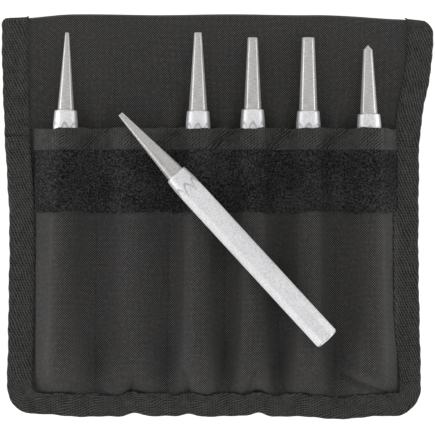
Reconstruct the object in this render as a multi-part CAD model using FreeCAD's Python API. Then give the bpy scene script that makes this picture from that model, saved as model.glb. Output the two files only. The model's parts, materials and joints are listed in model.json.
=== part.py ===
"""Drive punch set: six steel punches and their folding cloth wallet.

Five punches stand in the wallet's sewn pockets and one lies loose across the pocket covers.
The wallet's flap is folded back under the wallet, as when the set lies open for use.
Units are millimetres.  X runs across the wallet, Y towards its top fold, Z up from the table.
The origin is the middle of the whole set's footprint, on the table.
"""
import FreeCAD
import Part

import math
import os

Vec = FreeCAD.Vector

# --- wallet outline -------------------------------------------------------------------------
TOP_EDGE_Y = 78.6
MIDDLE_Y = 0.0
BOTTOM_Y = -80.4
TOP_HALF_WIDTH = 86.2
LEFT_MIDDLE_X, RIGHT_MIDDLE_X = -83.2, 80.2
LEFT_BOTTOM_X, RIGHT_BOTTOM_X = -84.2, 81.4
CORNER_RADIUS = 12.0
TAPE_WIDTH = 9.4  # what shows on each face of the folded binding tape
SHEET_INSET = 0.6  # how far the cloth's raw edge stops short inside the folded tape

# --- layers, from the table up --------------------------------------------------------------
HOOK_THICK = 1.0
CLOTH = 0.6
FLAP_Z = HOOK_THICK
FLAP_TAPE_TOP_Z = 2.1
PANEL_Z = 3.0
PANEL_TAPE_LOW_Z = 2.5
PANEL_TAPE_TOP_Z = 4.9
POCKET_FLOOR_Z = PANEL_Z + CLOTH
POCKET_CLOTH = 0.8  # measured straight up, so the slopes come out thinner
MOUTH_TAPE = 0.6
LOOP_THICK = 1.4
THREAD = 0.2

# --- fold and flap --------------------------------------------------------------------------
FOLD_Y = 79.0
FOLD_REACH_Y = 80.4
FOLD_BAR_Z = (1.9, 2.7)
FOLD_TAPE_Z = (1.8, 2.8)
SPINE = 14.0  # the stretch of flap that stands up when the flap is shut
FLAP_LENGTH = 94.0
HINGE_GAP = 0.4
TAPE_SETBACK = 1.8  # the tape stops short of a hinge line, so that it can turn
FLAP_INSET = 0.8  # the flap stays hidden under the wallet
SPINE_END_Y = FOLD_Y - SPINE
FLAP_END_Y = SPINE_END_Y - FLAP_LENGTH
HOOK_START, HOOK_WIDTH = 58.0, 25.0  # along the flap from the spine's end

# --- pockets --------------------------------------------------------------------------------
MOUTH_Y = 34.8
MOUTH_TAPE_Y = 26.8
LOOP_LOW_Y = 0.4
FULL_HEIGHT_Y = -56.0  # the covers slope down from here
HEM_Y = -70.8
SEAM_HALF = 0.8
SEAMS_X = (-73.4, -48.2, -19.0, 3.0, 25.0, 47.0, 70.4)
CREST_Z = 14.2
SNUG = (5.6, 11.2, 2.5)  # shoulder's half width, shoulder's height, crest's half width
SLACK = (6.4, 12.6, 3.5)  # the same for the empty pocket, a little rounder
EMPTY_POCKET = 1
EMPTY_CREST_X = -33.6

# --- punches --------------------------------------------------------------------------------
PUNCH_LENGTH = 120.0
FLATS = 9.8
CORNER_R = FLATS / 2 / math.cos(math.pi / 8)
SHOULDER_R = 4.4
NECK_LENGTH = 9.5  # over this the round neck widens to the octagon's corners
HEAD_CHAMFER = 1.0
PUNCH_AXIS_Z = POCKET_FLOOR_Z + 0.3 + FLATS / 2
POINT_HEIGHT = 1.85  # the centre punch's ninety degree point

# tip diameter, taper length, taper's base diameter
TAPERS = {
    "drift_punch_1mm": (1.5, 30.9, 6.6),
    "drift_punch_2mm": (2.0, 32.0, 7.3),
    "drift_punch_3mm": (3.0, 31.2, 7.5),
    "drift_punch_4mm": (4.0, 28.6, 7.0),
    "drift_punch_5mm": (5.0, 29.2, 7.4),
    "centre_punch": (2 * POINT_HEIGHT, 27.4, 7.0),
}
# pocket number, tip X, tip Y, and how far the head leans towards +X, in degrees
POCKETED = {
    "drift_punch_1mm": (0, -59.8, 72.9, -1.0),
    "drift_punch_3mm": (2, -7.75, 72.9, 0.0),
    "drift_punch_4mm": (3, 14.0, 70.9, 0.0),
    "drift_punch_5mm": (4, 36.1, 70.9, 0.0),
    "centre_punch": (5, 59.8, 67.9, 0.8),
}
LOOSE_TIP = Vec(-38.0, 39.9, 23.05)
LOOSE_HEAD = Vec(43.2, -48.5, 20.12)


def side_x(y, side):
    """X of the wallet's outer edge at height y; side is -1 for the left and 1 for the right."""
    middle, bottom = (LEFT_MIDDLE_X, LEFT_BOTTOM_X) if side < 0 else (RIGHT_MIDDLE_X, RIGHT_BOTTOM_X)
    corner_y = BOTTOM_Y + CORNER_RADIUS
    if y >= MIDDLE_Y:
        share = (y - MIDDLE_Y) / (TOP_EDGE_Y - MIDDLE_Y)
        return middle + share * (side * TOP_HALF_WIDTH - middle)
    return middle + (y - MIDDLE_Y) / (corner_y - MIDDLE_Y) * (bottom - middle)


def slab(points, low, high):
    """A flat solid over a polygon of (x, y) points, between two heights."""
    wire = Part.makePolygon([Vec(x, y, low) for x, y in points + points[:1]])
    return Part.Face(wire).extrude(Vec(0, 0, high - low))


def block(x_span, y_span, z_span):
    """A box given by its low and high values along each axis."""
    sizes = [high - low for low, high in (x_span, y_span, z_span)]
    return Part.makeBox(*sizes, Vec(x_span[0], y_span[0], z_span[0]))


def tongue(top_y, end_y, inset, low, high):
    """The wallet's outline from top_y down to a round-cornered end, as a flat solid."""
    end = end_y + inset
    radius = CORNER_RADIUS - min(inset, CORNER_RADIUS - 1.0)
    corner_y = end + radius
    left, right = side_x(corner_y, -1) + inset, side_x(corner_y, 1) - inset
    bow = radius * (1 - math.sqrt(0.5))
    start, z = Vec(side_x(top_y, -1) + inset, top_y, low), low
    left_bend = Vec(side_x(MIDDLE_Y, -1) + inset, MIDDLE_Y, z)
    right_bend = Vec(side_x(MIDDLE_Y, 1) - inset, MIDDLE_Y, z)
    finish = Vec(side_x(top_y, 1) - inset, top_y, z)
    edges = [
        Part.LineSegment(start, left_bend).toShape(),
        Part.LineSegment(left_bend, Vec(left, corner_y, z)).toShape(),
        Part.Arc(Vec(left, corner_y, z), Vec(left + bow, end + bow, z), Vec(left + radius, end, z)).toShape(),
        Part.LineSegment(Vec(left + radius, end, z), Vec(right - radius, end, z)).toShape(),
        Part.Arc(Vec(right - radius, end, z), Vec(right - bow, end + bow, z), Vec(right, corner_y, z)).toShape(),
        Part.LineSegment(Vec(right, corner_y, z), right_bend).toShape(),
        Part.LineSegment(right_bend, finish).toShape(),
        Part.LineSegment(finish, start).toShape(),
    ]
    return Part.Face(Part.Wire(edges)).extrude(Vec(0, 0, high - low))


def crest_x(pocket, y):
    """X of a pocket's crest at y, which follows the punch that stands in the pocket."""
    for number, tip_x, tip_y, lean in POCKETED.values():
        if number == pocket:
            return tip_x + (tip_y - y) * math.tan(math.radians(lean))
    return EMPTY_CREST_X


def cover_line(y):
    """The covers' inner face at y, as (x, z) points from the left edge to the right."""
    rise = 1.0 if y >= FULL_HEIGHT_Y else max(0.0, (y - HEM_Y) / (FULL_HEIGHT_Y - HEM_Y))
    points = [(-TOP_HALF_WIDTH, 0.0)]
    for pocket, (left, right) in enumerate(zip(SEAMS_X, SEAMS_X[1:])):
        shoulder, shoulder_z, crest = SLACK if pocket == EMPTY_POCKET else SNUG
        middle = crest_x(pocket, y)
        shoulder_rise, crest_rise = shoulder_z - POCKET_FLOOR_Z, CREST_Z - POCKET_FLOOR_Z
        points += [
            (left + SEAM_HALF, 0.0),
            (middle - shoulder, shoulder_rise),
            (middle - crest, crest_rise),
            (middle + crest, crest_rise),
            (middle + shoulder, shoulder_rise),
            (right - SEAM_HALF, 0.0),
        ]
    points.append((TOP_HALF_WIDTH, 0.0))
    return [(x, POCKET_FLOOR_Z + rise * z) for x, z in points]


def cover_band(stations, low, high):
    """A layer over the pocket covers through the given Y stations, low to high above their inner face."""
    rings = []
    for y in stations:
        line = cover_line(y)
        under = [Vec(x, y, z + low) for x, z in line]
        over = [Vec(x, y, z + high) for x, z in reversed(line)]
        rings.append(Part.makePolygon(under + over + under[:1]))
    return Part.makeLoft(rings, True, True)


def inside_outline(shape, inset):
    """The part of a layer that lies inside the wallet's outline."""
    return shape.common(tongue(TOP_EDGE_Y, BOTTOM_Y, inset, 0.0, 40.0))


def between_tapes(shape):
    """The part of a cover layer between the side tapes."""
    return shape.common(block((SEAMS_X[0] - 0.3, SEAMS_X[-1] + 0.3), (BOTTOM_Y, TOP_EDGE_Y), (0.0, 40.0)))


def wallet_parts():
    """The pieces sewn into the wallet's own body."""
    back = tongue(TOP_EDGE_Y, BOTTOM_Y, SHEET_INSET, PANEL_Z, POCKET_FLOOR_Z)
    cloth = inside_outline(cover_band((MOUTH_Y, FULL_HEIGHT_Y, HEM_Y, BOTTOM_Y), 0.0, POCKET_CLOTH), SHEET_INSET)
    rim = tongue(TOP_EDGE_Y, BOTTOM_Y, 0.0, PANEL_TAPE_LOW_Z, PANEL_TAPE_TOP_Z)
    window = tongue(TOP_EDGE_Y + 1.0, BOTTOM_Y, TAPE_WIDTH, 0.0, 40.0)
    binding = rim.cut([window, back, cloth])
    seam_ring = tongue(TOP_EDGE_Y, BOTTOM_Y, TAPE_WIDTH - 1.4, PANEL_TAPE_TOP_Z, PANEL_TAPE_TOP_Z + THREAD)
    inner_ring = tongue(TOP_EDGE_Y + 1.0, BOTTOM_Y, TAPE_WIDTH - 1.0, 0.0, 40.0)
    binding_seam = seam_ring.cut(inner_ring)

    mouth_top, loop_top = POCKET_CLOTH + MOUTH_TAPE, POCKET_CLOTH + LOOP_THICK
    mouth = between_tapes(cover_band((MOUTH_Y, MOUTH_TAPE_Y), POCKET_CLOTH, mouth_top))
    loop = between_tapes(cover_band((MOUTH_TAPE_Y, LOOP_LOW_Y), POCKET_CLOTH, loop_top))
    mouth_seam = between_tapes(cover_band((28.2, 27.8), mouth_top, mouth_top + THREAD))
    loop_seams = [
        between_tapes(cover_band((y + 0.2, y - 0.2), loop_top, loop_top + THREAD)) for y in (25.4, 1.8)
    ]
    return {
        "back_panel": back,
        "pocket_panel": cloth,
        "panel_binding": binding,
        "panel_binding_stitches": binding_seam,
        "mouth_tape": mouth,
        "mouth_tape_stitches": mouth_seam,
        "loop_strip": loop,
        "loop_strip_stitches": Part.makeCompound(loop_seams),
        "divider_stitches": divider_stitches(loop_top),
        "mouth_bar_tacks": mouth_bar_tacks(mouth_top),
    }


def divider_stitches(loop_top):
    """The thread lines between pockets, below and across the loop strip."""
    below = ((HEM_Y + 1.0, LOOP_LOW_Y), POCKET_CLOTH)
    across = ((LOOP_LOW_Y + 1.8, MOUTH_TAPE_Y - 1.8), loop_top)
    lines = []
    for x in SEAMS_X[1:-1]:
        for span, rise in (below, across):
            z = POCKET_FLOOR_Z + rise
            lines.append(block((x - 0.25, x + 0.25), span, (z, z + THREAD)))
    return Part.makeCompound(lines)


def mouth_bar_tacks(mouth_top):
    """One close bar of thread across the mouth tape at each seam, the outer ones beside the binding."""
    outer = (SEAMS_X[0] + 0.4, SEAMS_X[-1] - 0.4)
    z = POCKET_FLOOR_Z + mouth_top
    return Part.makeCompound([
        block((x - 0.4, x + 0.4), (MOUTH_TAPE_Y + 1.8, MOUTH_Y - 0.6), (z, z + THREAD))
        for x in SEAMS_X[1:-1] + outer
    ])


def fold_parts():
    """The narrow turn of cloth between wallet and flap, and the tape that goes round it at both ends."""
    reach = side_x(FOLD_Y - HINGE_GAP, 1) - 0.2
    inner = reach - TAPE_WIDTH
    cloth = block((-inner, inner), (FOLD_Y, FOLD_REACH_Y), FOLD_BAR_Z)
    ends = [block(span, (FOLD_Y, FOLD_REACH_Y), FOLD_TAPE_Z) for span in ((-reach, -inner), (inner, reach))]
    return {"fold_cloth": cloth, "fold_binding": Part.makeCompound(ends)}


def spine_parts():
    """The stretch of flap next to the fold, with its side tapes."""
    low_y, high_y = SPINE_END_Y + HINGE_GAP, FOLD_Y - HINGE_GAP
    tape_low, tape_high = SPINE_END_Y + TAPE_SETBACK, FOLD_Y - TAPE_SETBACK

    def strip(inset, y_low, y_high, z_low, z_high):
        corners = [(side_x(y_low, -1) + inset, y_low), (side_x(y_low, 1) - inset, y_low)]
        corners += [(side_x(y_high, 1) - inset, y_high), (side_x(y_high, -1) + inset, y_high)]
        return slab(corners, z_low, z_high)

    cloth = strip(FLAP_INSET + SHEET_INSET, low_y, high_y, FLAP_Z, FLAP_Z + CLOTH)
    outer = strip(FLAP_INSET, tape_low, tape_high, 0.0, FLAP_TAPE_TOP_Z)
    middle = strip(FLAP_INSET + TAPE_WIDTH, tape_low - 1.0, tape_high + 1.0, -1.0, 5.0)
    return {"spine_cloth": cloth, "spine_binding": outer.cut([middle, cloth])}


def flap_parts():
    """The flap beyond the spine, with its tape, hook strip and thread."""
    top_y, tape_y = SPINE_END_Y - HINGE_GAP, SPINE_END_Y - TAPE_SETBACK
    cloth = tongue(top_y, FLAP_END_Y, FLAP_INSET + SHEET_INSET, FLAP_Z, FLAP_Z + CLOTH)
    rim = tongue(tape_y, FLAP_END_Y, FLAP_INSET, 0.0, FLAP_TAPE_TOP_Z)
    window = tongue(tape_y + 1.0, FLAP_END_Y, FLAP_INSET + TAPE_WIDTH, -1.0, 5.0)
    seam_inset = FLAP_INSET + TAPE_WIDTH - 1.4
    seam = tongue(tape_y, FLAP_END_Y, seam_inset, FLAP_TAPE_TOP_Z, FLAP_TAPE_TOP_Z + THREAD)
    inside = tongue(tape_y + 1.0, FLAP_END_Y, seam_inset + 0.4, 0.0, 5.0)

    hook_y = (SPINE_END_Y - HOOK_START - HOOK_WIDTH, SPINE_END_Y - HOOK_START)
    hook_x = (SEAMS_X[0] + 1.6, SEAMS_X[-1] - 1.4)
    thread_z = (FLAP_Z + CLOTH, FLAP_Z + CLOTH + THREAD)
    rows = [block(hook_x, (y - 0.2, y + 0.2), thread_z) for y in (hook_y[0] + 1.6, hook_y[1] - 1.6)]
    return {
        "flap_panel": cloth,
        "flap_binding": rim.cut([window, cloth]),
        "flap_binding_stitches": seam.cut(inside),
        "hook_strip": block(hook_x, hook_y, (0.0, HOOK_THICK)),
        "hook_strip_stitches": Part.makeCompound(rows),
    }


def punch(name):
    """One forged punch along +Z: its tip at the origin, flats facing X and Y."""
    tip, taper, base = TAPERS[name]
    point = POINT_HEIGHT if name == "centre_punch" else 0.0
    reach = CORNER_R + 0.5
    wide = taper + NECK_LENGTH * (reach - SHOULDER_R) / (CORNER_R - SHOULDER_R)
    head_r = CORNER_R - HEAD_CHAMFER
    chamfer_z = PUNCH_LENGTH - HEAD_CHAMFER - (reach - CORNER_R)
    profile = [(0.0, 0.0), (tip / 2, point), (base / 2, taper), (SHOULDER_R, taper), (reach, wide)]
    profile += [(reach, chamfer_z), (head_r, PUNCH_LENGTH), (0.0, PUNCH_LENGTH)]
    wire = Part.makePolygon([Vec(r, 0, z) for r, z in profile + profile[:1]])
    turned = Part.Face(wire).revolve(Vec(0, 0, 0), Vec(0, 0, 1), 360)
    corners = [
        Vec(CORNER_R * math.cos(math.pi * (i + 0.5) / 4), CORNER_R * math.sin(math.pi * (i + 0.5) / 4), -1.0)
        for i in range(8)
    ]
    bar = Part.Face(Part.makePolygon(corners + corners[:1])).extrude(Vec(0, 0, PUNCH_LENGTH + 2.0))
    return turned.common(bar)


def laid(shape, tip, head):
    """A punch turned so that it runs from its tip to its head, with one flat facing straight up."""
    along = (head - tip).normalize()
    across = Vec(0, 0, 1).cross(along).normalize()
    over = along.cross(across)
    shape.Placement = FreeCAD.Placement(FreeCAD.Matrix(
        across.x, over.x, along.x, tip.x, across.y, over.y, along.y, tip.y,
        across.z, over.z, along.z, tip.z, 0, 0, 0, 1,
    ))
    return shape


def punch_parts():
    """All six punches where they lie."""
    parts = {}
    for name, (_, tip_x, tip_y, lean) in POCKETED.items():
        angle = math.radians(lean)
        tip = Vec(tip_x, tip_y, PUNCH_AXIS_Z)
        head = tip + Vec(math.sin(angle), -math.cos(angle), 0) * PUNCH_LENGTH
        parts[name] = laid(punch(name), tip, head)
    parts["drift_punch_2mm"] = laid(punch("drift_punch_2mm"), LOOSE_TIP, LOOSE_HEAD)
    return parts


def main():
    """Write every piece to its own file in parts/."""
    os.makedirs("parts", exist_ok=True)
    for group in (wallet_parts(), fold_parts(), spine_parts(), flap_parts(), punch_parts()):
        for name, shape in group.items():
            if not shape.isValid() or not shape.Solids:
                raise ValueError(f"{name} is not a sound solid")
            shape.exportStep(f"parts/{name}.step")
            print(f"{name}: {len(shape.Solids)} solids, {shape.Volume:.0f} mm3")


main()
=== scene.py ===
"""Drive punch set: six steel punches in a folding black cloth wallet.

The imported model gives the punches, the joints and the room that each cloth piece has.  Here the
wallet is sewn again from cloth, tape, pile and thread, and the punches are turned and ground.
Lengths inside the classes are millimetres, and meshes are written in metres.
"""

import json
import logging
import math
from dataclasses import dataclass, field
from enum import Enum
from typing import Callable, Mapping, Sequence

import bmesh
import bpy
import numpy as np
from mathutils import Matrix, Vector

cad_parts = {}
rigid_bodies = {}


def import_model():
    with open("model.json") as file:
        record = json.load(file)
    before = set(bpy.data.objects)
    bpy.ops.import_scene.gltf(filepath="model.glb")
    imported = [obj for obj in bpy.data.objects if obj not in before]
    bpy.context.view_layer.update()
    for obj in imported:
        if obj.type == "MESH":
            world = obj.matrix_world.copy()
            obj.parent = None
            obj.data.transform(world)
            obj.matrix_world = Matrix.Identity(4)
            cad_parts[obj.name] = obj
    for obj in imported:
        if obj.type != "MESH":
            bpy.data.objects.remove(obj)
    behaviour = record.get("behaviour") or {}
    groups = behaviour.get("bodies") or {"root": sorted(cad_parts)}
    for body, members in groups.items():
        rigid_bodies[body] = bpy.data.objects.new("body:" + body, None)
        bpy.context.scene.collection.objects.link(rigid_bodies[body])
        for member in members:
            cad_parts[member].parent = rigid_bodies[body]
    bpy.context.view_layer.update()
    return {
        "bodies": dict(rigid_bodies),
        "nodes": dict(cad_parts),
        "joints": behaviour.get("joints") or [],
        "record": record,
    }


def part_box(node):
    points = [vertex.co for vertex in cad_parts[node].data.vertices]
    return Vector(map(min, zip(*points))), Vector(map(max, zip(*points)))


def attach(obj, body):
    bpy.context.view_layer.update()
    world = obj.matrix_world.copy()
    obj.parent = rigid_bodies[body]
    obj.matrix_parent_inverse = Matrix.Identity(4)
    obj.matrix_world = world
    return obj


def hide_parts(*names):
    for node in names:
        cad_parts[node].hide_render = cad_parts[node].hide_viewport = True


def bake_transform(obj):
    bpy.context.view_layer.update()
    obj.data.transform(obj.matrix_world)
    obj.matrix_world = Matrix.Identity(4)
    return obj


LOG = logging.getLogger("punch_set")
MM = 0.001
WEAVE_UV = "weave"
# points on a line of painted shade: creases in the mouth tape, and where a punch's turned surfaces meet its
# flats
SHADE_LINE = "shade_line"
LOOSE = "drift_punch_2mm"
SEAM_DRIFT = (0.010, 0.020, 0.006, 0.008, 0.0)  # each divider's lean, mm a mm, left to right
LAST_DRIFT = -0.012  # the last pocket's outer edge
EMPTY_CREST = (0.2, 0.010)  # the empty pocket's crest: off its middle, and its lean
STRIP_ROOM = (0.3, 1.2)  # from the strip's ends to the outer pockets' edges: in on the left, out on the right
MOUTH_ROOM = 0.75  # from the pocket cloth's edge to the top of the tape over it
Numbers = np.ndarray
Shape = Callable[[Numbers, Numbers], Numbers]
Waves = Sequence[tuple[float, float, float | Numbers]]


# ---------------------------------------------------------------- node trees
class Value:
    """One output socket of a node tree, with arithmetic that adds Math nodes."""

    def __init__(self, tree: "Tree", socket: bpy.types.NodeSocket) -> None:
        """Wrap a socket of a tree."""
        self.tree, self.socket = tree, socket

    def apply(self, operation: str, *others: "Value | float") -> "Value":
        """Run a Math node on this value.

        Args:
            operation: The Math node's operation.
            others: Its further inputs, in order.

        Returns:
            The node's result.
        """
        sockets = dict(enumerate((self, *others)))
        return self.tree.value("ShaderNodeMath", {"operation": operation}, sockets)

    def __add__(self, other: "Value | float") -> "Value":
        """Sum."""
        return self.apply("ADD", other)

    __radd__ = __add__

    def __mul__(self, other: "Value | float") -> "Value":
        """Product."""
        return self.apply("MULTIPLY", other)

    __rmul__ = __mul__

    def __sub__(self, other: "Value | float") -> "Value":
        """Difference."""
        return self.apply("SUBTRACT", other)

    def __rsub__(self, other: float) -> "Value":
        """Difference with the number first."""
        return self * -1.0 + other

    def __abs__(self) -> "Value":
        """Absolute value."""
        return self.apply("ABSOLUTE")

    def sine(self) -> "Value":
        """Sine, in radians."""
        return self.apply("SINE")

    def between(self, low: float, high: float) -> "Value":
        """This value held between two limits."""
        return self.apply("MAXIMUM", low).apply("MINIMUM", high)

    def ramp(self, low: float, high: float) -> "Value":
        """0 at low, 1 at high and straight between, held at both ends."""
        sockets = {"Value": self, "From Min": low, "From Max": high}
        return self.tree.value("ShaderNodeMapRange", {"clamp": True}, sockets)


class Tree:
    """A node tree being built."""

    def __init__(self, tree: bpy.types.NodeTree) -> None:
        """Start on an existing tree."""
        self.tree = tree

    def add(self, kind: str, settings: Mapping[str, object] | None = None,
            sockets: Mapping[int | str, object] | None = None) -> bpy.types.Node:
        """Add any node.

        Args:
            kind: The node's type.
            settings: Its properties, set first.
            sockets: A value, socket or Value for each input, by name or number.

        Returns:
            The new node.
        """
        node = self.tree.nodes.new(kind)
        for name, setting in (settings or {}).items():
            setattr(node, name, setting)
        self.feed(node, sockets or {})
        return node

    def feed(self, node: bpy.types.Node, sockets: Mapping[int | str, object]) -> None:
        """Set or link a node's inputs.

        Args:
            node: The node to feed.
            sockets: A value, socket or Value for each input, by name or number.
        """
        for key, given in sockets.items():
            source = given.socket if isinstance(given, Value) else given
            if isinstance(source, bpy.types.NodeSocket):
                self.tree.links.new(source, node.inputs[key])
            else:
                node.inputs[key].default_value = source

    def value(self, kind: str, settings: Mapping[str, object] | None = None,
              sockets: Mapping[int | str, object] | None = None, output: int | str = 0) -> Value:
        """Add a node and return one of its outputs."""
        return Value(self, self.add(kind, settings, sockets).outputs[output])

    def split(self, vector: Value) -> tuple[Value, Value, Value]:
        """The three parts of a vector."""
        node = self.add("ShaderNodeSeparateXYZ", sockets={0: vector})
        return tuple(Value(self, socket) for socket in node.outputs)

    def mix(self, share: Value, first: Sequence[float] | Value, second: Sequence[float] | Value) -> Value:
        """A colour between two, by share."""
        inputs = {0: share, 6: with_alpha(first), 7: with_alpha(second)}
        return self.value("ShaderNodeMix", {"data_type": "RGBA"}, inputs, 2)

    def noise(self, scale: float, detail: float = 2.0, where: Value | None = None) -> Value:
        """Soft noise over Object coordinates, or over another vector, from 0 to 1."""
        where = where or self.value("ShaderNodeTexCoord", output="Object")
        return self.value("ShaderNodeTexNoise", None, {"Vector": where, "Scale": scale, "Detail": detail})

    def bump(self, height: Value, strength: float, depth: float) -> Value:
        """A surface normal raised by height, depth metres at full strength."""
        return self.value("ShaderNodeBump", None, {"Strength": strength, "Distance": depth, "Height": height})


def with_alpha(colour: Sequence[float] | Value) -> Sequence[float] | Value:
    """A colour with four parts, or a Value as it is."""
    return colour if isinstance(colour, Value) else (*colour[:3], 1.0)


# ------------------------------------------------------------------ finishes
@dataclass(frozen=True)
class Finish:
    """A finish that paints one material."""

    name: str
    slot: str

    def paint(self, tree: Tree, surface: bpy.types.Node) -> None:
        """Wire the surface shader."""
        raise NotImplementedError

    def soft(self, gloss: float, sheen: float, spread: float) -> dict[str, float]:
        """The shader's plain sockets on cloth: its gloss, its sheen and that sheen's roughness."""
        return {"Specular IOR Level": gloss, "Sheen Weight": sheen, "Sheen Roughness": spread}

    def material(self) -> bpy.types.Material:
        """The finish's material, made on first use.

        Returns:
            The material.
        """
        made = bpy.data.materials.get(self.name)
        if made is None:
            made = bpy.data.materials.new(self.name)
            made.use_nodes = True
            self.paint(Tree(made.node_tree), made.node_tree.nodes["Principled BSDF"])
        return made


@dataclass(frozen=True)
class WovenCloth(Finish):
    """Plain-woven coated polyester."""

    lit: tuple[float, float, float] = (0.152, 0.143, 0.141)
    # near-black colour painted into the hollows between threads, as painted shade
    hollow_shade: tuple[float, float, float] = (0.003, 0.003, 0.003)
    ageing: tuple[float, float, float] = (0.90, 0.93, 0.84)
    pitch: float = 0.00047
    depth: float = 0.00014

    def paint(self, tree: Tree, surface: bpy.types.Node) -> None:
        """Warp and weft cross over and under, with painted shade in the gaps between threads and on the
        weft-over cells, and a slow change of tone.

        Args:
            tree: The material's node tree.
            surface: Its surface shader.
        """
        across, along, _ = tree.split(tree.value("ShaderNodeUVMap", {"uv_map": WEAVE_UV}))
        turn = math.pi / self.pitch
        drift = tree.noise(60.0, 2.0) * 0.0009
        warp, weft = ((across + drift) * turn).sine(), ((along + drift) * turn).sine()
        warp_over = (warp * weft * 2.0).between(-1.0, 1.0) * 0.5 + 0.5
        height = abs(warp) * abs(weft)
        slub = tree.noise(1100.0, 2.0)
        tone = tree.noise(34.0, 3.0).ramp(0.38, 0.62)
        aged = tuple(part * share for part, share in zip(self.lit, self.ageing))
        warm = tree.mix(tone, self.lit, aged)
        # painted shade: gaps between threads go towards the near-black hollow colour, and weft-over cells are
        # painted darker than warp-over cells, as if lit from one side
        shade = height * (warp_over * 0.95 + 0.05) + (slub - 0.5) * 0.55
        tree.feed(surface, {
            "Base Color": tree.mix(shade.ramp(0.05, 0.80), self.hollow_shade, warm),
            "Roughness": 0.86 - height * 0.16,
            "Normal": tree.bump(height, 0.7, self.depth),
            **self.soft(0.32, 0.06, 0.5),
        })


@dataclass(frozen=True)
class TwillTape(Finish):
    """Tape woven in slanting ribs."""

    lit: tuple[float, float, float] = (0.058, 0.057, 0.054)
    # near-black colour painted into the rib furrows and creases, as painted shade
    hollow_shade: tuple[float, float, float] = (0.0015, 0.0015, 0.0015)
    rib: float = 0.00108
    slant: float = 24.0
    yarn: float = 0.0011

    def paint(self, tree: Tree, surface: bpy.types.Node) -> None:
        """Slanting ribs with the weft's fine beat across them, painted darker in the rib furrows and along the
        gathered creases as painted shade.

        Args:
            tree: The material's node tree.
            surface: Its surface shader.
        """
        along, across, _ = tree.split(tree.value("ShaderNodeUVMap", {"uv_map": WEAVE_UV}))
        angle = math.radians(self.slant)
        wander = tree.noise(130.0, 3.0) * 0.0026
        slanting = along * math.sin(angle) + across * math.cos(angle) + wander
        rib = (slanting * (2 * math.pi / self.rib)).sine()
        beat = (along * (2 * math.pi / self.yarn)).sine()
        height = rib * 0.37 + beat * 0.13 + 0.5
        worn = tree.noise(700.0, 3.0) * 0.8 + tree.noise(190.0, 2.0) * 0.25
        crease_shade = tree.value("ShaderNodeAttribute", {"attribute_name": SHADE_LINE}, output="Fac")
        # painted shade: rib furrows and the gathered creases are painted towards the near-black hollow colour
        shade = height * 0.75 + worn * 1.05 - crease_shade
        tree.feed(surface, {
            "Base Color": tree.mix(shade.ramp(0.5, 1.25), self.hollow_shade, self.lit),
            "Roughness": 0.9 - height * 0.15,
            "Normal": tree.bump(height, 0.75, 0.00022),
            **self.soft(0.3, 0.05, 0.5),
        })


@dataclass(frozen=True)
class Pile(Finish):
    """Matted loops, or a woven base under hooks."""

    lit: tuple[float, float, float] = (0.052, 0.052, 0.052)
    # near-black colour painted between the clumps, as painted shade
    hollow_shade: tuple[float, float, float] = (0.001, 0.001, 0.001)
    clump: float = 1500.0
    roughness: float = 0.92

    def paint(self, tree: Tree, surface: bpy.types.Node) -> None:
        """Curled clumps, light on their crowns.

        Args:
            tree: The material's node tree.
            surface: Its surface shader.
        """
        clumps = tree.noise(self.clump, 4.0)
        patches = tree.noise(70.0, 2.0)
        tree.feed(surface, {
            "Base Color": tree.mix((clumps * 0.85 + patches * 0.2).ramp(0.46, 0.65), self.hollow_shade, self.lit),
            "Roughness": self.roughness,
            "Normal": tree.bump(clumps, 0.8, 0.0004),
            **self.soft(0.2, 0.04, 0.6),
        })


@dataclass(frozen=True)
class Thread(Finish):
    """Twisted black sewing thread."""

    colour: tuple[float, float, float] = (0.006, 0.006, 0.006)

    def paint(self, tree: Tree, surface: bpy.types.Node) -> None:
        """Fine uneven tone, a little shine.

        Args:
            tree: The material's node tree.
            surface: Its surface shader.
        """
        fibre = tree.noise(2600.0, 2.0)
        pale = tuple(part * 2.4 for part in self.colour)
        tree.feed(surface, {
            "Base Color": tree.mix(fibre.ramp(0.3, 0.7), self.colour, pale),
            "Roughness": 0.62,
            "Normal": tree.bump(fibre, 0.4, 0.0001),
        })


class SteelArea(Enum):
    """The two surfaces of a punch."""

    PLATED = 0
    GROUND = 1


@dataclass(frozen=True)
class Steel(Finish):
    """Plated or freshly ground tool steel."""

    area: SteelArea = SteelArea.PLATED

    def paint(self, tree: Tree, surface: bpy.types.Node) -> None:
        """Satin plating with faint mottling and a line of painted shade where the turned neck and head meet
        the flats, or grinding rings round the taper.

        Args:
            tree: The material's node tree.
            surface: Its surface shader.
        """
        around, along, _ = tree.split(tree.value("ShaderNodeUVMap", {"uv_map": WEAVE_UV}))
        if self.area is SteelArea.PLATED:
            grain = tree.noise(1500.0, 3.0)
            blotch = tree.noise(140.0, 3.0)
            edge = tree.value("ShaderNodeAttribute", {"attribute_name": SHADE_LINE}, output="Fac")
            dark, pale, roughness = (0.46, 0.46, 0.475), (0.82, 0.82, 0.83), 0.40 + blotch * 0.12
            # painted shade: the plating is darkened along the line where the turned neck and head meet the
            # flats
            tone = (grain * 0.8 + blotch * 0.2 - edge * 0.8).ramp(0.1, 0.60)
            relief, depth, metallic = grain, 0.00008, 0.72
        else:
            vector = tree.value("ShaderNodeCombineXYZ", None, {0: around * 260.0, 1: along * 2600.0})
            rings = tree.noise(1.0, 2.0, vector)
            dark, pale, roughness = (0.39, 0.38, 0.37), (0.56, 0.55, 0.54), 0.20 + rings * 0.05
            tone, relief, depth, metallic = rings.ramp(0.3, 0.7), rings, 0.000004, 0.32
        tree.feed(surface, {
            "Base Color": tree.mix(tone, dark, pale),
            "Metallic": metallic,
            "Roughness": roughness,
            "Normal": tree.bump(relief, 0.5, depth),
        })


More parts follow.
